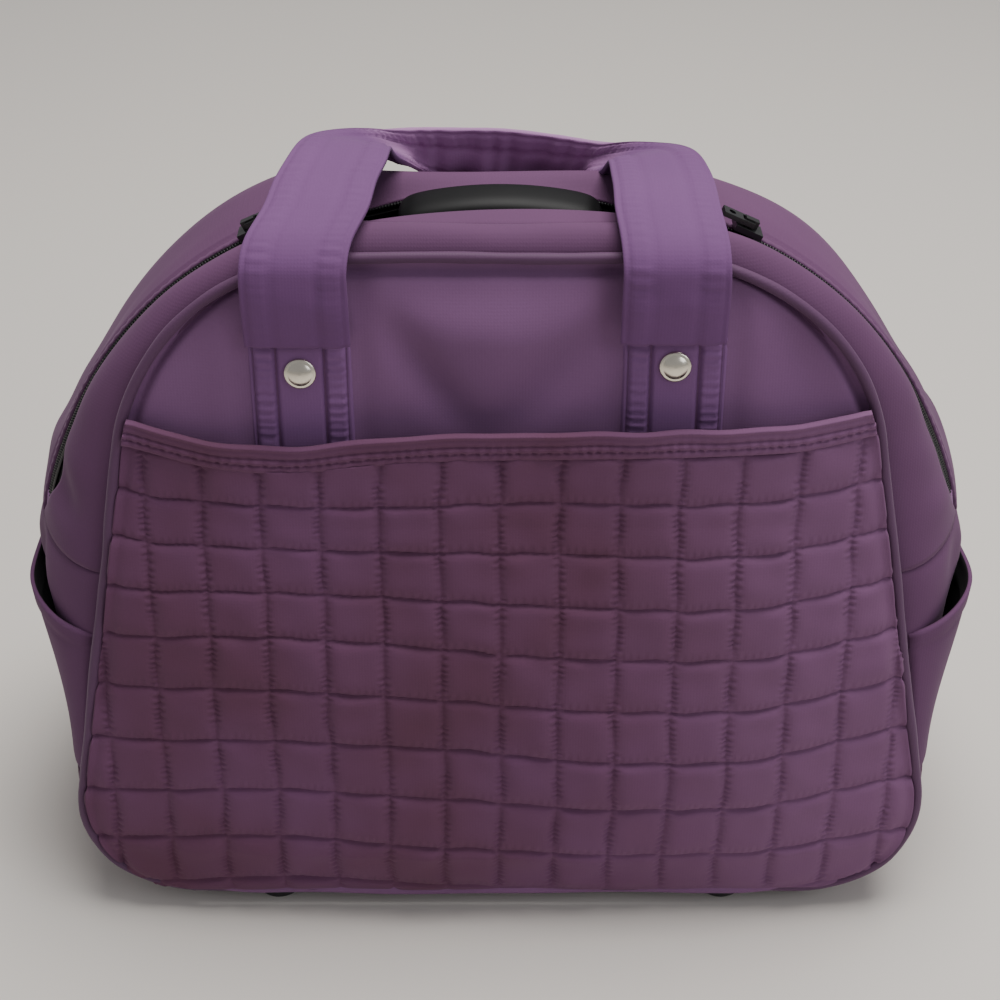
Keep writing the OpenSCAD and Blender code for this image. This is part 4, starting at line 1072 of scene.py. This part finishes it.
# ---- build everything
pieces = {
    "front_panel": front_panel(),
    "rear_panel": rear_panel(),
    "zip_gusset_front": zip_gusset_front(),
    "zip_gusset_rear": zip_gusset_rear(),
    "side_gusset_left": side_gusset(-1),
    "side_gusset_right": side_gusset(1),
    "base_panel": base_panel(),
    "front_piping": piping("front_piping_cord", panel, 91),
    "rear_piping": piping("rear_piping_cord", rear_panel_point, 95),
    "quilted_pocket": quilted_pocket(),
    "pocket_hem": pocket_hem(),
    "side_pocket_left": side_pocket(-1),
    "side_pocket_right": side_pocket(1),
    "zip_coil_front": coil("zip_coil_front_teeth", front=True),
    "zip_coil_rear": coil("zip_coil_rear_teeth", front=False),
    "zip_tape_front": tape("zip_tape_front_cloth", front=True),
    "zip_tape_rear": tape("zip_tape_rear_cloth", front=False),
    "front_handle_strap": front_handle(),
    "rear_handle_strap": rear_handle(),
    "front_handle_tabs": tabs("front_handle_tabs_cloth", panel, 0.180, FOLD_V + 0.005, STRAP_SHIFT, 121),
    "rear_handle_tabs": tabs("rear_handle_tabs_cloth", rear_panel_point, 0.150, 0.248, 0.0, 131, rear=True),
    "front_feet": feet(),
    "front_rivets": rivets(),
    "trolley_grip": trolley_grip(),
}
cut_for_housings(pieces["rear_piping"])
lining = lining_shell()

for node, piece in pieces.items():
    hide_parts(node)
for side in SIDES.values():
    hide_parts("side_pocket_hem_" + side)
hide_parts("grip_cover")


# ---- floor, light and camera
FLOOR_HALF = 4.0
CAMERA_PLACE, CAMERA_DOWN, CAMERA_LENS = (0.0, -0.6845, 0.6338), 34.5, 63.9


def stage():
    mesh = bpy.data.meshes.new("floor")
    r = FLOOR_HALF
    mesh.from_pydata([(-r, -r, 0), (r, -r, 0), (r, r, 0), (-r, r, 0)], [], [(0, 1, 2, 3)])
    floor = bpy.data.objects.new("floor", mesh)
    bpy.context.scene.collection.objects.link(floor)
    mat, tree, bsdf = nodes_of("pale_floor")
    wire(tree, bsdf, Base_Color=(0.70, 0.66, 0.61, 1), Roughness=0.6)
    mesh.materials.append(mat)


def area_light(name, place, target, size, power, colour):
    data = bpy.data.lights.new(name, "AREA")
    data.shape, data.size, data.energy, data.color = "DISK", size, power, colour
    obj = bpy.data.objects.new(name, data)
    obj.location = place
    obj.rotation_euler = (Vector(target) - Vector(place)).to_track_quat("-Z", "Y").to_euler()
    bpy.context.scene.collection.objects.link(obj)


def lights():
    """A soft room, a large overhead light and a cool one from the front right."""
    world = bpy.data.worlds.new("soft_room")
    world.use_nodes = True
    wire(world.node_tree, world.node_tree.nodes["Background"], Color=(0.97, 0.97, 1.0, 1), Strength=0.34)
    bpy.context.scene.world = world
    middle = (0, 0, 0.2)
    area_light("overhead", (0.25, 0.15, 1.9), middle, 1.3, 42, (1.0, 0.98, 0.96))
    area_light("window", (1.5, -1.1, 1.3), middle, 1.2, 8, (0.90, 0.93, 1.0))


def camera():
    data = bpy.data.cameras.new("camera")
    data.lens, data.sensor_width = CAMERA_LENS, 36.0
    obj = bpy.data.objects.new("camera", data)
    obj.location = CAMERA_PLACE
    obj.rotation_euler = (math.radians(90 - CAMERA_DOWN), 0, 0)
    bpy.context.scene.collection.objects.link(obj)
    bpy.context.scene.camera = obj


stage()
lights()
camera()
